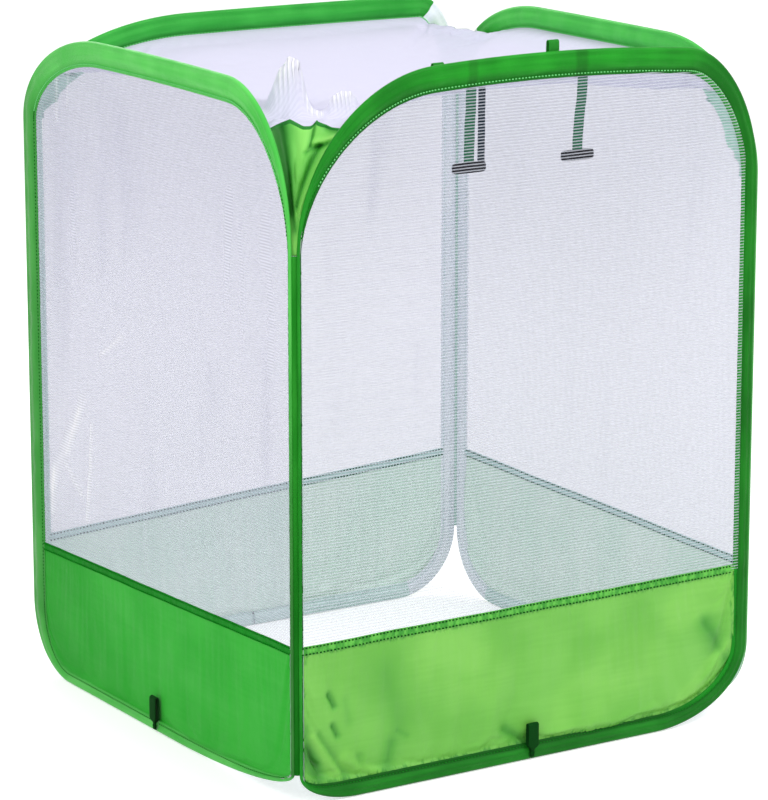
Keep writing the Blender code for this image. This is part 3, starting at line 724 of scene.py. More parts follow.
def webbing_cloth(name, dark, light, rib=0.0013):
    """Ribbed webbing: raised ribs along it, crossed by fine picks, darker between them as painted shade.
    """
    n = Nodes(name)
    along, up = n.cloth_place()
    ribs = n.lines(along, rib, 1.0)
    picks = n.lines(up, rib * 0.7, 1.0)
    height = n.times(ribs, n.plus(n.times(picks, 0.5), 0.5))
    return n.finish(height, 0.0004, Base_Color=n.mix(height, rgb(*dark), rgb(*light)),
                    Roughness=0.8, Specular_IOR_Level=0.1)


def thread(name, *levels):
    """Twisted sewing thread."""
    n = Nodes(name)
    twist = n.solid_noise(900.0, 1.0)
    colour = rgb(*levels)
    pale = tuple(min(1.0, c * 1.35) for c in colour[:3]) + (1.0,)
    return n.finish(twist, 0.0002, Base_Color=n.mix(twist, colour, pale), Roughness=0.75,
                    Specular_IOR_Level=0.05)


def moulded(name, dark, light):
    """Moulded plastic."""
    n = Nodes(name)
    cloud = n.solid_noise(120.0, 4.0)
    return n.finish(cloud, 0.0002, 0.5, Base_Color=n.mix(cloud, rgb(*dark), rgb(*light)),
                    Roughness=0.6, Specular_IOR_Level=0.2)


def steel(name, dark, light):
    """Drawn steel."""
    n = Nodes(name)
    drawn = n.solid_noise(400.0, 3.0)
    return n.finish(Base_Color=n.mix(drawn, rgb(*dark), rgb(*light)), Metallic=1.0,
                    Roughness=n.spread(drawn, 0.3, 0.7, 0.22, 0.38))


def sleeve_look(wall, shade, light, gloss, seam_shade):
    return woven_cloth("sleeve_" + wall, shade, light, 0.36, gloss, 0.3, seam_shade, (9.0, 150.0))


def skirt_look(wall, shade, light, roughness, gloss, streaks, toned=False):
    return woven_cloth("skirt_" + wall, shade, light, roughness, gloss, streaks,
                       grain=(10.0, 170.0), toned=toned, puckered=not toned)


def lining_look(name, shade, light):
    return woven_cloth(name, shade, light, 0.6, 0.1)


# Each wall has its own copy of the sleeve, skirt and hem cloth, lighter or darker by how brightly that
# wall is lit: painted light and shade.
SLEEVE = {
    "front": sleeve_look("front", (18, 126, 24), (36, 156, 38), 0.12, 0.7),
    "right": sleeve_look("right", (58, 182, 64), (80, 202, 80), 0.2, 0.8),
    "back": sleeve_look("back", (38, 152, 48), (58, 176, 64), 0.2, 0.75),
    "left": sleeve_look("left", (68, 190, 68), (94, 210, 90), 0.2, 0.95),
}
SKIRT = {
    "front": skirt_look("front", (106, 184, 67), (122, 197, 81), 0.34, 0.35, 0.15),
    "right": skirt_look("right", (84, 180, 70), (112, 200, 88), 0.40, 0.25, 0.3),
    "back": skirt_look("back", (84, 180, 70), (112, 200, 88), 0.40, 0.25, 0.3),
    "left": skirt_look("left", (44, 168, 47), (56, 177, 57), 0.48, 0.08, 0.2, toned=True),
}
# The front hem's strong streaks are painted shade of its crinkles
HEM = {
    "front": woven_cloth("hem_front", (54, 150, 44), (102, 196, 74), 0.45, 0.25, 0.9,
                         grain=(150.0, 60.0)),
    "right": woven_cloth("hem_right", (60, 160, 54), (84, 180, 70), 0.45),
    "back": woven_cloth("hem_back", (60, 160, 54), (84, 180, 70), 0.45),
    "left": woven_cloth("hem_left", (2, 122, 16), (12, 138, 26), 0.45, 0.05),
}
# Pale inner sides, lighter than the cloth outside: painted light for the light that reaches the inside
# through the nets. far_lining is a lighter copy for the farthest posts.
SLEEVE_LINING = lining_look("sleeve_lining", (206, 230, 226), (218, 240, 236))
FAR_LINING = lining_look("far_lining", (236, 242, 250), (244, 248, 254))
GUSSET_LINING = lining_look("gusset_lining", (160, 202, 188), (172, 212, 198))
LINING = lining_look("lining", (222, 246, 232), (236, 252, 242))
HEM_LINING = lining_look("hem_lining", (196, 224, 222), (208, 234, 232))
GUSSET = woven_cloth("gusset", (84, 180, 64), (126, 208, 94), 0.32, 0.2, 0.15, toned=True)
GUSSET_RIM = woven_cloth("gusset_rim", (18, 104, 28), (34, 132, 42), 0.5)
SEAM = woven_cloth("seam", (28, 128, 30), (44, 146, 42), 0.7, 0.05, toned=True)
# The farthest corner's seam is pale too, painted light like the linings
FAR_SEAM = woven_cloth("far_seam", (176, 214, 200), (198, 228, 216), 0.7, 0.05)
NET = {
    "front": net_cloth("net_front", 0.0, 0.47, (210, 214, 226), (216, 220, 232), 0.40),
    "left": net_cloth("net_left", 0.29, 0.45, (203, 203, 220), (211, 211, 229), folds=0.08,
                      creased=True),
    "right": net_cloth("net_right", 0.61, 0.69, (213, 212, 229), (219, 218, 235)),
    "back": net_cloth("net_back", 0.61, 0.69, (213, 212, 229), (219, 218, 235), folds=0.1),
}
TOP_NET = gathered_net("top_net", 0.85, 0.89, (214, 212, 234), (218, 216, 237))
PALE_THREAD = thread("pale_thread", 110, 200, 120)
DARK_THREAD = thread("dark_thread", 4, 62, 14)
# The far walls' side thread is pale, painted light like the linings; the front and left side and hem
# threads follow their wall's painted light and shade
FAR_THREAD = thread("far_side_thread", 206, 232, 224)
SIDE_THREAD = {"front": thread("side_thread", 22, 122, 28), "right": FAR_THREAD,
               "back": FAR_THREAD, "left": thread("left_side_thread", 10, 96, 18)}
HEM_THREAD = {"front": DARK_THREAD, "right": DARK_THREAD, "back": DARK_THREAD,
              "left": thread("left_hem_thread", 10, 112, 20)}
PEG_WEBBING = webbing_cloth("peg_webbing", (0, 52, 8), (8, 84, 20))
TIE_WEBBING = webbing_cloth("tie_webbing", (30, 124, 36), (60, 164, 60))
STRAP = webbing_cloth("strap_webbing", (28, 84, 60), (56, 124, 90))
TAIL = webbing_cloth("tail_webbing", (16, 26, 36), (44, 60, 72))
TOGGLE_PLASTIC = moulded("toggle", (3, 3, 10), (16, 15, 26))
WIRE = steel("wire", (140, 142, 146), (176, 178, 182))
CRIMP = steel("crimp", (160, 162, 166), (196, 198, 202))


# Sleeves


def sleeve_profile(station):
    """Depths and half thicknesses from the wire's bead to the sewn flange's edge."""
    bead, stitch, width = station.bead(), station.seam_depth(), station.width
    pairs = []
    for step in range(7):
        angle = math.pi / 12.0 * step
        pairs.append((WIRE_DEPTH - bead * math.cos(angle), bead * math.sin(angle)))
    slim, full = FULL_WIDTHS
    fullness = ease((width - slim) / (full - slim))
    for step in range(1, 12):
        t = step / 12.0
        narrow = bead + (PINCH - bead) * ease(t)
        wide = float(np.interp(t, *zip(*WIDE_SECTION)))
        pairs.append((WIRE_DEPTH + (stitch - WIRE_DEPTH) * t, narrow + (wide - narrow) * fullness))
    return pairs + [(stitch, PINCH), (stitch + 0.0013, FLANGE_HALF),
                    (width - 0.0008, FLANGE_HALF), (width, FLANGE_HALF * 0.5)]


def sleeve_tone(wall, station):
    """The painted light and shade of the sleeve at a station. It has painted shade where a strap is sewn
    behind.
    """
    first, top, last, foot = SLEEVE_SHADING[wall.name]
    if wall.name == "left":
        last += NEAR_POST_PAINTED_LIGHT * ease((station.z - 0.25) / 0.45)
    upright, level = station.out_u ** 2, station.out_z ** 2
    tone = (upright * (last if station.out_u > 0.0 else first)
            + level * (top if station.out_z > 0.0 else foot))
    if wall.name == "front" and station.out_z > 0.0:
        tone *= 1.0 + level * (float(np.interp(station.u, *zip(*TOP_SHADES))) - 1.0)
    if wall.name == "front" and station.out_z > 0.5:
        for tie in TIES.values():
            if abs(station.u - tie["place"]) < WEBBING_WIDTH / 2.0:
                tone *= STRAP_SHADE
    return tone


def build_sleeve(wall):
    """Loose cloth tube round the hoop, puckered along its stitched line."""
    seed = WALL_RING.index(wall.name) + 1
    vertices, uvs, tones = [], [], []
    for station in wall.stations:
        pairs = sleeve_profile(station)
        ring = [(d, h, 1.0) for d, h in pairs] + [(d, h, -1.0) for d, h in reversed(pairs[1:])]
        stitch = station.seam_depth()
        tone = sleeve_tone(wall, station)
        for depth, half, face in ring:
            near_stitch = max(0.0, 1.0 - abs(depth - stitch) / 0.012)
            body = ease((depth - 0.002) / 0.008) * ease((stitch - depth) / 0.006)
            pucker = ripple(station.run * 130.0, depth * 45.0 + face * 3.0, seed)
            slack = ripple(station.run * 28.0, depth * 20.0 + face * 5.0, seed + 9)
            sewn = depth > stitch + 0.0005
            if sewn:
                off = face * half + 0.0004 * pucker
            else:
                off = face * (half + 0.0005 * pucker * near_stitch + 0.0012 * max(slack, -0.4) * body)
            vertices.append(wall.world @ station.inward(depth, MID_PLANE + off))
            uvs.append((station.run, depth / station.width * TOP_WIDTH))
            # Painted light on the front's sewn flange, more where it laps; the rest takes the sleeve's
            # painted light and shade
            tones.append(tone * (1.0 + LAP_PAINTED_LIGHT * station.lap) if sewn else tone)
    sides = len(ring)
    name = wall.name + "_sleeve"
    obj = tube(name + "_cloth", vertices, sides, uvs)
    set_tone(obj, tones)
    finish_piece(obj, wall.body, SLEEVE[wall.name], "sleeve_cloth", name)
    obj.data.materials.append(SLEEVE_LINING)
    obj.data.materials.append(FAR_LINING)
    # Inward faces of the uprights and foot take the pale lining, painted light, and the farthest posts
    # the lighter far lining
    for face in obj.data.polygons:
        station = wall.stations[face.vertices[0] // sides]
        if face.normal.dot(wall.normal) > LINING_FACING[wall.name] and station.out_z < TOP_FACING:
            face.material_index = 2 if wall.is_farthest(station) else 1
    build_sleeve_stitches(wall)


def build_sleeve_stitches(wall):
    """Pale stitches along the top and dark ones on the uprights and the foot."""
    rows = {True: [], False: []}
    spin = wall.world.to_3x3()
    wanted = STITCH_SPACING
    for a, b in zip(wall.stations, wall.stations[1:]):
        while wanted <= b.run:
            station = a.towards(b, (wanted - a.run) / (b.run - a.run))
            station.lap = a.lap
            wanted += STITCH_SPACING
            if station.width < STITCHED_WIDTH:
                continue
            forward = (spin @ (b.inward(b.seam_depth()) - a.inward(a.seam_depth()))).normalized()
            row = rows[station.out_z > 0.30 and station.width > 0.016]
            for face in (1.0, -1.0):
                off = MID_PLANE + face * (PINCH + STITCH_RADIUS)
                place = wall.world @ station.inward(station.seam_depth() + STITCH_INSET, off)
                row.append((place, forward, wall.normal * face))
    for pale, row in rows.items():
        name = wall.name + ("_top_stitching" if pale else "_side_stitching")
        obj = stitch_mesh(name, row, STITCH_LENGTH, STITCH_RADIUS if pale else SIDE_STITCH_RADIUS)
        finish_piece(obj, wall.body, PALE_THREAD if pale else SIDE_THREAD[wall.name], "sleeve_cloth")


# Wall cloth


def inset_bounds(wall, inset):
    """The outline inside the sleeve: places u and z of its lower and its upper part."""
    points = [s.inward(s.width - inset(s)) for s in wall.stations]
    us = np.array([p.x for p in points])
    zs = np.array([p.z for p in points])
    right, left = int(np.argmax(us)), int(np.argmin(us))
    low_u = np.concatenate([us[left:], us[:right + 1]])
    low_z = np.concatenate([zs[left:], zs[:right + 1]])
    return low_u, low_z, us[right:left + 1][::-1], zs[right:left + 1][::-1]


def panel(wall, inset, floor, ceiling, columns, rows):
    """Grid over the wall between two heights, inside the sleeve: places u, z by row."""
    low_u, low_z, high_u, high_z = inset_bounds(wall, inset)
    first, last = max(low_u[0], high_u[0]), min(low_u[-1], high_u[-1])
    t = np.linspace(0.0, 1.0, columns)
    t = 0.55 * t + 0.45 * (0.5 - 0.5 * np.cos(math.pi * t))
    u = first + (last - first) * t
    low = np.interp(u, low_u, low_z)
    high = np.interp(u, high_u, high_z)
    if floor is not None:
        low = np.maximum(low, floor(u))
    if ceiling is not None:
        high = np.minimum(high, ceiling(u))
    high = np.maximum(high, low + 0.0005)
    share = np.linspace(0.0, 1.0, rows)[:, None]
    return np.broadcast_to(u, (rows, columns)).copy(), low + (high - low) * share


def edge_gap(u, z, wall):
    """How far inside the sleeve's inner edge each place is, negative over the sleeve."""
    stations = wall.stations[::2]
    points = np.array([s.inward(0.0).xz for s in stations])
    widths = np.array([s.width for s in stations])
    flat = np.stack([u.ravel(), z.ravel()], 1)
    away = np.sqrt(((flat[:, None, :] - points[None, :, :]) ** 2).sum(2))
    nearest = away.argmin(1)
    return (away.min(1) - widths[nearest]).reshape(u.shape)


def wall_mesh(name, wall, u, y, z):
    rows, columns = u.shape
    vertices = [wall.world @ Vector((u[i], y[i], z[i])) for i in np.ndindex(u.shape)]
    uvs = np.stack([u.ravel(), z.ravel()], 1)
    return mesh_object(name, vertices, grid_faces(rows, columns), uvs)


def build_net(wall):
    """Mesh panel, lapped over the far posts' flanges and slightly full in the middle."""
    seed = WALL_RING.index(wall.name) + 20
    u, z = panel(wall, lambda s: 0.002 + NET_LAP * s.lap, wall.skirt_line(HEM_HEIGHT * 0.5), None,
                 130, 120)
    gap = edge_gap(u, z, wall)
    away = smooth(gap / 0.07) * smooth((z - wall.skirt_line()(u)) / 0.05)
    y = np.full(u.shape, MID_PLANE)
    for index in np.ndindex(u.shape):
        fold = ripple(u[index] * 26.0, z[index] * 3.5, seed, 3)
        soft = ripple(u[index] * 5.0, z[index] * 4.0, seed + 3)
        y[index] -= away[index] * (0.0022 + 0.0016 * fold + 0.0018 * soft)
    if wall.name == "front":
        y -= (1.0 - smooth(gap / 0.010)) * (u > SPAN * 0.7) * (FLANGE_HALF + 0.0014)
    # The left net's creases push it in and are painted white, a painted highlight
    white = creases(NET_CREASES.get(wall.name, ()), u, z)
    obj = wall_mesh(wall.name + "_net", wall, u, y - 0.004 * white * away, z)
    set_tone(obj, np.minimum(white, 1.0).ravel())
    finish_piece(obj, wall.body, NET[wall.name], "wall_mesh", wall.name + "_mesh")


def build_hem(wall):
    """Turned band between net and skirt, with two rows of stitches."""
    low_u, low_z, high_u = inset_bounds(wall, lambda s: 0.003)[:3]
    line = wall.skirt_line()
    seed = WALL_RING.index(wall.name) + 40
    us = np.linspace(0.0, SPAN, 2000)
    inside = (us > high_u[0]) & (us < high_u[-1]) & (np.interp(us, low_u, low_z) < line(us))
    first, last = us[inside][0], us[inside][-1]
    ring = [(b, share, 1.0) for b, share in HEM_PROFILE]
    ring += [(b, share, -1.0) for b, share in HEM_PROFILE[-2:0:-1]]

    def height(place, below):
        return line(place) + 0.0008 * ripple(place * 12.0, 0.0, seed + 1) - below

    vertices, uvs = [], []
    for place in np.linspace(first, last, 260):
        for below, share, face in ring:
            pucker = 1.0 + 0.30 * ripple(place * 160.0, below * 60.0 + face, seed)
            z = height(place, below)
            y = MID_PLANE + face * HEM_HALF * share * pucker
            vertices.append(wall.world @ Vector((place, y, z)))
            uvs.append((place, z + 0.1 * face))
    obj = tube(wall.name + "_hem_band", vertices, len(ring), uvs)
    finish_piece(obj, wall.body, HEM[wall.name], "hem_band", wall.name + "_hem")
    # Pale inner side, painted light
    obj.data.materials.append(HEM_LINING)
    for face in obj.data.polygons:
        face.material_index = int(face.normal.dot(wall.normal) > 0.2)
    stitches = []
    slope = (line(SPAN) - line(0.0)) / SPAN
    forward = (wall.world.to_3x3() @ Vector((1.0, 0.0, slope))).normalized()
    for below in HEM_ROWS:
        place = first + 0.002
        while place < last - 0.002:
            for face in (1.0, -1.0):
                y = MID_PLANE + face * (HEM_HALF * 0.75 + 0.6 * HEM_STITCH_RADIUS)
                centre = wall.world @ Vector((place, y, height(place, below)))
                stitches.append((centre, forward, wall.normal * face))
            place += HEM_STITCH_SPACING
    rows = stitch_mesh(wall.name + "_hem_stitching", stitches, STITCH_LENGTH, HEM_STITCH_RADIUS)
    finish_piece(rows, wall.body, HEM_THREAD[wall.name], "hem_band")


def build_skirt(wall):
    """Skirt with slack cloth that wrinkles between its sewn edges."""
    u, z = panel(wall, lambda s: 0.003, None, wall.skirt_line(HEM_HEIGHT * 0.6), 190, 64)
    gap = edge_gap(u, z, wall)
    under = wall.skirt_line(HEM_HEIGHT)(u) - z
    away = smooth(gap / 0.06)
    top = smooth((wall.skirt_line()(u) - z) / 0.05)
    seed = WALL_RING.index(wall.name) + 60
    y = np.full(u.shape, MID_PLANE)
    for index in np.ndindex(u.shape):
        bow = ripple(u[index] * 7.0, z[index] * 9.0, seed)
        y[index] += min(away[index], top[index]) * 0.0015 * bow
    crease = creases(SKIRT_CREASES[wall.name], u, z)
    y += crease * smooth(gap / 0.012) * smooth(under / 0.012)
    obj = wall_mesh(wall.name + "_skirt_cloth", wall, u, y, z)
    # The left skirt's tone is painted shade, darker towards its first corner and its foot. The others'
    # tone marks their puckers near the seams, and their shade is painted shade in the creases with
    # painted light on the ridges.
    if wall.name == "left":
        set_tone(obj, (0.82 + 0.22 * smooth((u + 0.3 * z) / 0.35)).ravel())
    else:
        near_seam = (np.exp(-np.maximum(gap, 0.0) / 0.007)
                     + 0.9 * np.exp(-np.maximum(under, 0.0) / 0.004))
        set_tone(obj, np.minimum(near_seam, 1.0).ravel())
        set_tone(obj, np.clip(0.98 - SKIRT_SHADE * crease, 0.45, 1.06).ravel(), "shade")
    return {"object": obj, "pins": border(*u.shape), "wall": wall, "flat": (u, z),
            "grow": 0.003 if wall.name == "left" else 0.012, "gravity": 0.3}


def finish_skirt(cloth):
    obj, wall = cloth["object"], cloth["wall"]
    finish_piece(obj, wall.body, SKIRT[wall.name], "skirt_cloth", wall.name + "_skirt")
    # Pale lining on the back, painted light
    thicken(obj, SKIRT_CLOTH, LINING)


# Webbing, straps and toggles


def ribbon(name, path, across, width, thickness, seed, shares=None):
    """Webbing that follows a path, with rounded selvedges and a slightly uneven width.

    The path is a list of places; across is the direction of the webbing's width, and
    shares say how much of it is left at each place.
    """
    half = width / 2.0
    bevel = thickness * 0.45
    profile = [(-half, 0.0), (-half + bevel, 0.8), (-half * 0.5, 1.0), (0.0, 0.96),
               (half * 0.5, 1.0), (half - bevel, 0.8), (half, 0.0)]
    profile += [(side, -lift) for side, lift in profile[-2:0:-1]]
    vertices, uvs = [], []
    run = 0.0
    for i, point in enumerate(path):
        before, after = path[max(i - 1, 0)], path[min(i + 1, len(path) - 1)]
        forward = (after - before).normalized()
        out = across.cross(forward).normalized()
        run += (point - before).length
        wave = (1.0 + 0.025 * ripple(run * 90.0, 0.0, seed)) * (shares[i] if shares else 1.0)
        for side, lift in profile:
            shift = 0.00015 * ripple(run * 140.0, side * 90.0, seed + 1)
            vertices.append(point + across * side * wave + out * (lift * thickness / 2.0 + shift))
            uvs.append((side, run))
    return tube(name, vertices, len(profile), uvs)


def loop_path(length, neck):
    """Middle line of a folded loop in its own frame: out (Y) and up (Z)."""
    half = WEBBING_THICKNESS / 2.0
    open_half = LOOP_EYE / 2.0 + half
    crown = length - LOOP_EYE / 2.0 - WEBBING_THICKNESS
    side = [(half, 0.0), (half, neck)]
    for step in range(1, 6):
        t = step / 5.0
        side.append((half + (open_half - half) * ease(t), neck + LOOP_TAPER * t))
    eye = []
    for step in range(1, 12):
        angle = math.pi * step / 12.0
        eye.append((open_half * math.cos(angle), crown + open_half * math.sin(angle)))
    back = [(-y, z) for y, z in reversed(side)]
    return [Vector((0.0, y, z)) for y, z in side + eye + back]


def bar_tack(name, world, width, height, out, seed):
    """Dense zig-zag stitches that fasten webbing, seen as one raised row."""
    spin = world.to_3x3()
    way = (spin @ Vector((0.0, out, 0.0))).normalized()
    stitches = []
    for i in range(TACK_STITCHES):
        x = width * ((i + 0.5) / TACK_STITCHES - 0.5) * 0.86
        place = world @ Vector((x, out, height + 0.0003 * ripple(i * 1.7, 0.0, seed)))
        lean = 0.0006 if i % 2 else -0.0006
        stitches.append((place, (spin @ Vector((lean, 0.0, 0.0022))).normalized(), way))
    return stitch_mesh(name, stitches, 0.0030, 0.0005)


def build_loop(name, body, world, length, neck, material, slot, pinch=1.0):
    """Folded loop of webbing with a row of stitches on each side of its neck.

    pinch is the share of its width that is left where it is sewn in.
    """
    places = evenly(loop_path(length, neck))
    shares = [pinch + (1.0 - pinch) * ease((p.z - PINCH_LEVEL) / PINCH_RISE) for p in places]
    across = (world.to_3x3() @ Vector((1.0, 0.0, 0.0))).normalized()
    seed = sum(ord(letter) for letter in name)
    obj = ribbon(name + "_webbing", [world @ p for p in places], across, WEBBING_WIDTH,
                 WEBBING_THICKNESS * 0.96, seed, shares)
    finish_piece(obj, body, material, slot, name)
    for suffix, way in (("_tack_out", -1.0), ("_tack_in", 1.0)):
        out = way * (WEBBING_THICKNESS + 0.0001)
        tack = bar_tack(name + suffix, world, WEBBING_WIDTH * pinch, neck * 0.6, out, seed)
        finish_piece(tack, body, DARK_THREAD, slot)


def build_peg_loop(wall):
    """Loop at the middle of a wall's foot, outside it."""
    name = wall.name + "_peg"
    out = 2.0 * MID_PLANE - PEG_CLEARANCE - WEBBING_THICKNESS
    world = wall.world @ Matrix.Translation((SPAN / 2.0, out, PEG_HINGE_HEIGHT))
    build_loop(name + "_loop", name, world, PEG_LOOP_LENGTH, PEG_LOOP_NECK, PEG_WEBBING,
               "peg_webbing", PEG_PINCH)


def build_tie_loop(side, wall):
    """Loop that stands over the top edge of the front wall."""
    name = side + "_tie_loop"
    low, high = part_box(name)
    foot = ((low[0] + high[0]) / 2.0, (low[1] + high[1]) / 2.0, low[2] + WEBBING_THICKNESS)
    build_loop(name, wall.body, Matrix.Translation(foot), high[2] - foot[2],
               TIE_LOOP_NECKS[side], TIE_WEBBING, "tie_webbing")


def build_strap(name, body, x, y, z, drift, width, lean, seed):
    """Strap that hangs from its seam and ends inside its toggle."""
    down = STRAP_LENGTH - TOGGLE_SLOT_DEPTH
    points = []
    for step in range(61):
        t = step / 60.0
        hang = ease(t * STRAP_LENGTH / down)
        slack = math.sin(math.pi * t) ** 2
        aside = lean * (1.0 - hang) + 0.0006 * slack * ripple(t * 4.0, 0.0, seed)
        inwards = drift * hang + 0.0008 * slack * max(0.0, ripple(t * 5.0, 3.0, seed))
        points.append(Vector((x + aside, y + inwards, z - STRAP_LENGTH * t)))
    obj = ribbon(name + "_webbing", points, Vector((1.0, 0.0, 0.0)), width * 0.97,
                 STRAP_THICKNESS * 0.96, seed)
    finish_piece(obj, body, TAIL if name.endswith("tail") else STRAP, "tie_webbing", name)


def build_toggle(name, body, centre):
    """Moulded bar with softened ends and a shallow groove along each face."""
    length, depth, height = (size / 2.0 for size in TOGGLE)
    section = []
    for step in range(24):
        angle = 2.0 * math.pi * step / 24.0
        c, s = math.cos(angle), math.sin(angle)
        section.append((math.copysign(abs(c) ** 0.45, c), math.copysign(abs(s) ** 0.45, s)))
    vertices = []
    for t in np.linspace(-1.0, 1.0, 41):
        swell = max(0.25, (1.0 - abs(t) ** 14) ** 0.5) * (1.0 - 0.05 * t * t)
        for y, z in section:
            groove = TOGGLE_GROOVE if abs(z) < 0.35 and abs(t) < 0.86 else 1.0
            place = Vector((t * length, y * groove * swell * depth, z * swell * height))
            vertices.append(centre + place)
    obj = tube(name + "_bar", vertices, len(section))
    obj.data.set_sharp_from_angle(angle=math.radians(50.0))
    finish_piece(obj, body, TOGGLE_PLASTIC, "toggle_plastic", name)


def build_tie(side):
    """Strap, tail and toggle hanging inside the front wall."""
    tie = TIES[side]
    name = side + "_tie"
    x, y, z = JOINTS[name + "_swing"]["pos_m"]
    low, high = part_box(side + "_toggle")
    centre = Vector([(a + b) / 2.0 for a, b in zip(low, high)])
    drift = centre.y - y
    build_strap(name + "_strap", name, x, y, z, drift, WEBBING_WIDTH, tie["lean"], 11)
    if tie["has_tail"]:
        build_strap(name + "_tail", name, x + TAIL_OFFSET, y, z, drift, TAIL_WIDTH, -tie["lean"], 17)
    build_toggle(side + "_toggle", name, centre)


def build_corner_seam(corner):
    """Overcast seam that fills the crease between two sleeves, wound with thread."""
    name = corner + "_seam"
    low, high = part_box(name)
    centre = Vector(((low[0] + high[0]) / 2.0, (low[1] + high[1]) / 2.0, 0.0))
    out = centre.normalized()
    across = Vector((-out.y, out.x, 0.0))
    bead = BEAD_RADII[0] if corner == "front_left" else BEAD_RADII[1]
    half = math.hypot(WIRE_DEPTH, WIRE_DEPTH) - bead + SEAM_TUCK
    sides, rows = 14, int((high[2] - low[2]) / 0.0020)
    vertices, uvs = [], []
    for row in range(rows + 1):
        z = low[2] + (high[2] - low[2]) * row / rows
        for side in range(sides):
            angle = 2.0 * math.pi * side / sides
            wound = 1.0 + 0.10 * math.cos(2.0 * angle + z * 2.0 * math.pi / 0.0065)
            place = centre + across * half * math.cos(angle)
            place += out * SEAM_DEPTH * wound * math.sin(angle)
            vertices.append(place + Vector((0.0, 0.0, z)))
            uvs.append((angle * half, z))
    obj = tube(name + "_cord", vertices, sides, uvs)
    # Painted shade on the seam, darker towards the bottom
    rises = smooth((np.array([v.z for v in vertices]) - 0.15) / 0.35)
    set_tone(obj, np.interp(rises, (0.0, 1.0), NEAR_SEAM_SHADING))
    carrier = {"front_left": "front", "front_right": "front", "back_right": "right",
               "back_left": "left"}[corner]
    finish_piece(obj, carrier + "_wall", FAR_SEAM if corner == "back_right" else SEAM,
                 "sleeve_cloth", name)


# Gussets and top


def gusset_walls(corner, walls):
    """The walls before and after a corner, and its gusset's last step up their arcs."""
    turn = CORNER_RING.index(corner)
    before, after = walls[WALL_RING[turn - 1]], walls[WALL_RING[turn]]
    return before, after, round(GUSSET_SHARE * (len(before.end_top) - 1))


def gusset_top(corner, walls, share):
    """A place on the edge where a gusset meets the top, from one wall to the next."""
    before, after, last = gusset_walls(corner, walls)
    return gusset_point(corner, before, after, last, share, last)


def between(stations, place):
    """The station at a place between two in a list."""
    low = min(int(place), len(stations) - 2)
    return stations[low].towards(stations[low + 1], place - low)


def fold_depth(share, rise):
    """How deep the gusset's folds lie at a place, from the lines in GUSSET_FOLDS."""
    def place(share, rise):
        return (share - 0.5) * (0.15 + 0.85 * rise), rise * GUSSET_ASPECT

    lines = [place(*fold[0:2]) + place(*fold[2:4]) + fold[4:] for fold in GUSSET_FOLDS]
    return float(creases(lines, *place(share, rise)))


def gusset_point(corner, before, after, step, share, last):
    """A place on a gusset: a step up the two hoops' arcs, and a share across."""
    a, b = between(before.end_top, step), between(after.start_top[::-1], step)
    left = before.world @ a.inward(a.width - SEAM_LAP, SHEET_EDGE)
    right = after.world @ b.inward(b.width - SEAM_LAP, SHEET_EDGE)
    inward = -Vector((left.x + right.x, left.y + right.y, 0.0)).normalized()
    rise = step / last
    bow = 4.0 * share * (1.0 - share)
    gap = (right - left).length
    point = left.lerp(right, share) + inward * bow * min(GUSSET_HOLLOW, gap * 0.16)
    seed = CORNER_RING.index(corner) + 80
    crease = 1.0 - 2.0 * abs(ripple(share * 2.6 + rise * 1.5, rise * 1.6 - share * 1.3, seed))
    depth = 0.003 * crease + fold_depth(share, rise)
    point += inward * bow ** 0.5 * min(1.0, gap / 0.05) * depth
    lift = 0.002 * (0.6 - abs((share * 3.6 + 0.2) % 1.0 * 2.0 - 1.0))
    if corner == "front_left":
        lift = float(np.interp(share, RIM_SHARES, RIM_LIFTS))
    point.z += (GUSSET_LIFT * bow ** 0.5 + lift) * rise ** 5
    return point


def build_gusset(corner, walls):
    """Gathered satin web between two falling hoops, with a zig-zag sewn top.

    The web over the opened pivot is cut down its middle, and each half rides on its wall.
    """
    before, after, last = gusset_walls(corner, walls)
    columns, rows = GUSSET_COLUMNS, 2 * last
    vertices, uvs, tones = [], [], []
    for row, column in np.ndindex(rows + 1, columns + 1):
        share = column / columns
        point = gusset_point(corner, before, after, row / 2.0, share, last)
        vertices.append(point)
        uvs.append(((share - 0.5) * 0.12, point.z))
        # Painted shade in the folds and painted light on their ridges
        shade = 0.95 - GUSSET_SHADE * fold_depth(share, row / rows)
        tones.append(min(1.15, max(0.28, shade)))
    half = columns // 2
    parts = [("", 0, columns, None, None)]
    if corner == "back_right":
        parts = [("_a", 0, half, before, "right_fold"), ("_b", half, columns, after, "back_fold")]
    for suffix, first, stop, wall, joint in parts:
        picked = [row * (columns + 1) + c for row in range(rows + 1) for c in range(first, stop + 1)]
        wide = stop - first
        obj = mesh_object(corner + "_gusset_cloth" + suffix, [vertices[i] for i in picked],
                          grid_faces(rows + 1, wide + 1), [uvs[i] for i in picked])
        finish_piece(obj, wall and wall.body, GUSSET, "gusset_cloth", corner + "_gusset")
        set_tone(obj, [tones[i] for i in picked])
        darken_rim(obj, wide)
        line_gusset(obj)
        if wall is None:
            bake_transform(obj)
        else:
            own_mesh(obj)


def darken_rim(obj, columns):
    """Turned and stitched rim: the last rows of faces."""
    obj.data.materials.append(GUSSET_RIM)
    for face in obj.data.polygons:
        face.material_index = int(face.index >= len(obj.data.polygons) - RIM_ROWS * columns)


def line_gusset(obj):
    """Gives the web its thickness and a paler inner side, painted light, in the mesh itself."""
    thicken(obj, GUSSET_CLOTH, GUSSET_LINING, GUSSET_LINING)
    graph = bpy.context.evaluated_depsgraph_get()
    lined = bpy.data.meshes.new_from_object(obj.evaluated_get(graph))
    obj.modifiers.clear()
    obj.data = lined


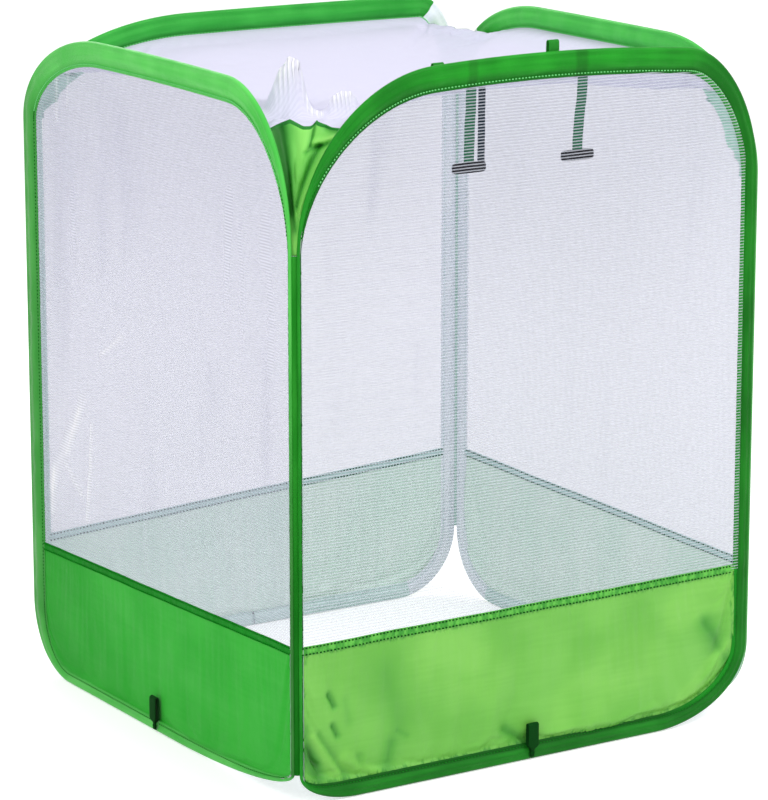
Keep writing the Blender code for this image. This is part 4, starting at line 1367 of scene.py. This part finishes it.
def top_rim(walls, per_side):
    """Points round the top sheet's edge, per_side steps to a wall, from corner middles."""
    rim = []
    for wall in walls.values():
        last = gusset_walls(wall.start, walls)[2]
        low, high = wall.start_top[-1 - last].u, wall.end_top[last].u
        sewn = [s for s in reversed(wall.stations)
                if s.z > SHOULDER_HEIGHT * 0.7 and abs(s.out_z) > 0.3 and low < s.u < high]
        path = [gusset_top(wall.start, walls, 0.5 + 0.5 * i / 14.0) for i in range(15)]
        path += [wall.world @ s.inward(s.width - SEAM_LAP, SHEET_EDGE) for s in sewn]
        path += [gusset_top(wall.end, walls, 0.5 * i / 14.0) for i in range(15)]
        rim.extend(evenly(path, per_side + 1)[:-1])
    return rim


def top_relief(x, y):
    """Height of the folds near the nearest corner and of a crease, and how gathered it is, which also
    sets their painted highlight.
    """
    along = (x + HINGE_HALF) * FOLD_WAY[0] + (y + HINGE_HALF) * FOLD_WAY[1]
    across = (x + HINGE_HALF) * FOLD_WAY[1] - (y + HINGE_HALF) * FOLD_WAY[0]
    height = gathered = 0.0
    for place_along, place_across, length, width, rise, pleat in GATHERS:
        behind = (along - place_along) / length
        fan = across - place_across
        aside = fan / width
        near = math.exp(-abs(behind) ** 3.4 - abs(aside) ** 5.0)
        lean = 0.60 + 0.40 * ease((aside + 1.0) / 1.3)
        height += near * (rise * lean + pleat * math.cos(fan * 2.0 * math.pi / PLEAT))
        gathered += 1.2 * near * near
    dx, dy = x - CREASE_MIDDLE[0], y - CREASE_MIDDLE[1]
    ring = math.hypot(dx, dy)
    away = (dx * FOLD_WAY[0] + dy * FOLD_WAY[1]) / max(ring, 1e-6)
    crease = math.exp(-((ring - CREASE_RADIUS) / CREASE_WIDTH) ** 2) * ease(away + 0.4)
    return height + CREASE_RISE * crease, min(1.0, gathered + 0.7 * crease)


def square_ring(i, j):
    """The square ring that a grid's place is on, and how many sides round it that is."""
    ring = max(abs(i), abs(j))
    side = 2.0 * max(ring, 1)
    if j == ring:
        return ring, 2.0 + (ring - i) / side
    if i == ring:
        return ring, 1.0 + (j + ring) / side
    if j == -ring:
        return ring, (i + ring) / side
    return ring, 3.0 + (ring - j) / side


def build_top(walls, half=66):
    """Top sheet as one grid in square rings, gathered where it meets the nearest gusset."""
    per_side = 2 * half
    size = per_side + 1
    rim = top_rim(walls, per_side)
    middle = Vector((0.0, 0.0, SHOULDER_HEIGHT - (TOP_WIDTH - SEAM_LAP) - TOP_SAG))
    vertices, uvs, tones = [], [], []
    for row, column in np.ndindex(size, size):
        ring, along = square_ring(column - half, row - half)
        where = along * per_side % len(rim)
        low = int(where)
        edge = rim[low].lerp(rim[(low + 1) % len(rim)], where - low)
        f = ring / half
        point = Vector((edge.x * f, edge.y * f, middle.z + (edge.z - middle.z) * f ** 3))
        relief, gathered = top_relief(point.x, point.y)
        inner = ease((1.0 - f) / 0.10)
        point.z += relief * inner
        vertices.append(point)
        uvs.append((point.x, point.y))
        # The gathered share is also the painted highlight on the folds and the crease
        tones.append(gathered * inner)
    faces = []
    for a, b, c, d in grid_faces(size, size):
        row, column = divmod(a, size)
        if row == column:
            faces += [(a, b, c), (a, c, d)]
        elif row + column == size - 2:
            faces += [(a, b, d), (b, c, d)]
        else:
            faces.append((a, b, c, d))
    return {"object": mesh_object("top_net", vertices, faces, uvs), "pins": border(size, size),
            "grow": 0.012, "gravity": 0.1, "size": size, "uvs": uvs, "tones": tones}


def finish_top(cloth, walls):
    """Splits the settled top sheet into the four parts that follow the walls."""
    whole, size = cloth["object"].data, cloth["size"]
    normals = [tuple(v.normal) for v in whole.vertices]
    quarters = {name: [] for name in WALL_RING}
    for face in whole.polygons:
        corners = [divmod(v, size) for v in face.vertices]
        j, i = (sum(places) / len(corners) - (size - 1) / 2.0 for places in zip(*corners))
        if abs(j) > abs(i):
            side = "front" if j < 0 else "back"
        else:
            side = "right" if i > 0 else "left"
        quarters[side].append(tuple(face.vertices))
    for name, faces in quarters.items():
        wall = walls[name]
        used = sorted({v for face in faces for v in face})
        place = {v: i for i, v in enumerate(used)}
        obj = mesh_object(name + "_top_net", [whole.vertices[v].co for v in used],
                          [tuple(place[v] for v in face) for face in faces],
                          [cloth["uvs"][v] for v in used])
        obj.data.normals_split_custom_set_from_vertices([normals[v] for v in used])
        set_tone(obj, [cloth["tones"][v] for v in used])
        finish_piece(obj, wall.body, TOP_NET, "top_mesh", "top_sheet")
        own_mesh(obj)
    bpy.data.objects.remove(cloth["object"], do_unlink=True)


def settle(cloths):
    """Lets slack cloth settle between its sewn edges."""
    scene = bpy.context.scene
    for cloth in cloths:
        obj = cloth["object"]
        obj.vertex_groups.new(name="pins").add(cloth["pins"], 1.0, "REPLACE")
        modifier = obj.modifiers.new("settle", "CLOTH")
        for key, value in SETTLE_CLOTH.items():
            setattr(modifier.settings, key, value)
        modifier.settings.shrink_min = -cloth["grow"]
        modifier.settings.effector_weights.gravity = cloth["gravity"]
    for step in range(1, SETTLE_FRAMES + 1):
        scene.frame_set(step)
    graph = bpy.context.evaluated_depsgraph_get()
    for cloth in cloths:
        obj = cloth["object"]
        rest = np.array([v.co for v in obj.data.vertices])
        settled = obj.evaluated_get(graph)
        shift = np.array([v.co for v in settled.to_mesh().vertices]) - rest
        settled.to_mesh_clear()
        length = np.linalg.norm(shift, axis=1, keepdims=True)
        shift *= np.minimum(1.0, SETTLE_LIMIT / np.maximum(length, 1e-9))
        obj.modifiers.clear()
        obj.vertex_groups.clear()
        obj.data.vertices.foreach_set("co", (rest + shift).astype(np.float32).ravel())
        obj.data.update()
    scene.frame_set(1)


# Stage


def build_camera():
    """Camera fitted to the photo, aimed by its turn and tilt."""
    turn, tilt = CAMERA_TURN, CAMERA_TILT
    back = Vector((math.sin(turn) * math.cos(tilt), -math.cos(turn) * math.cos(tilt),
                   math.sin(tilt)))
    right = Vector((math.cos(turn), math.sin(turn), 0.0))
    up = back.cross(right)
    data = bpy.data.cameras.new("camera")
    data.sensor_width = SENSOR
    data.lens = FOCAL_PIXELS * SENSOR / PHOTO_HEIGHT
    camera = bpy.data.objects.new("camera", data)
    bpy.context.scene.collection.objects.link(camera)
    offset = back * CAMERA_DISTANCE + right * CAMERA_SIDE + up * CAMERA_RISE
    place = Matrix((right, up, back)).transposed().to_4x4()
    place.translation = Vector((0.0, 0.0, SHOULDER_HEIGHT / 2.0)) + offset * SHOULDER_HEIGHT
    camera.matrix_world = place
    bpy.context.scene.camera = camera


def area_light(name, place, aim_height, size, power):
    data = bpy.data.lights.new(name, "AREA")
    data.shape = "DISK"
    data.size = size
    data.energy = power
    light = bpy.data.objects.new(name, data)
    bpy.context.scene.collection.objects.link(light)
    light.location = place
    way = Vector((0.0, 0.0, aim_height)) - Vector(place)
    light.rotation_euler = way.to_track_quat("-Z", "Y").to_euler()


def background_rays(tree):
    """1 for rays that show the background: the camera's, mirrored and let through."""
    path = tree.nodes.new("ShaderNodeLightPath")
    shown = path.outputs["Is Camera Ray"]
    for kind in ("Is Glossy Ray", "Is Transmission Ray"):
        more = tree.nodes.new("ShaderNodeMath")
        more.operation = "MAXIMUM"
        tree.links.new(shown, more.inputs[0])
        tree.links.new(path.outputs[kind], more.inputs[1])
        shown = more.outputs[0]
    return shown


def build_stage():
    """Pale floor, white surroundings and soft lamps."""
    bpy.context.scene.view_settings.view_transform = "Standard"
    bpy.ops.mesh.primitive_plane_add(size=FLOOR_SIZE, location=(0.0, 0.0, -FLOOR_DROP))
    floor = bpy.context.object
    floor.name = "floor"
    n = Nodes("floor")
    glow = n.times(background_rays(n.tree), FLOOR_GLOW)
    floor.data.materials.append(n.finish(Base_Color=FLOOR_COLOUR, Roughness=0.9,
                                         Emission_Color=WHITE, Emission_Strength=glow))
    world = bpy.data.worlds.new("world")
    bpy.context.scene.world = world
    world.use_nodes = True
    tree = world.node_tree
    background = tree.nodes["Background"]
    background.inputs["Color"].default_value = WHITE
    level = tree.nodes.new("ShaderNodeMapRange")
    level.inputs["To Min"].default_value = SKY_LIGHT
    level.inputs["To Max"].default_value = 1.0
    tree.links.new(background_rays(tree), level.inputs["Value"])
    tree.links.new(level.outputs[0], background.inputs["Strength"])
    for name, lamp in LAMPS.items():
        area_light(name, *lamp)


def dress_nodes():
    """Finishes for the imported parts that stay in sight."""
    for name, node in frame["nodes"].items():
        for ending, material in (("hoop", WIRE), ("ferrule", CRIMP)):
            if name.endswith(ending):
                node.data.materials.clear()
                node.data.materials.append(material)


def build_cloche():
    walls = {name: Wall(name) for name in WALL_RING}
    slack = []
    for wall in walls.values():
        build_sleeve(wall)
        build_net(wall)
        build_hem(wall)
        slack.append(build_skirt(wall))
    top = build_top(walls)
    settle(slack + [top])
    for cloth in slack:
        finish_skirt(cloth)
    finish_top(top, walls)
    for corner in CORNER_RING:
        build_gusset(corner, walls)
        build_corner_seam(corner)
    for wall in walls.values():
        build_peg_loop(wall)
    for side in TIES:
        build_tie_loop(side, walls["front"])
        build_tie(side)
    dress_nodes()


build_camera()
build_stage()
build_cloche()
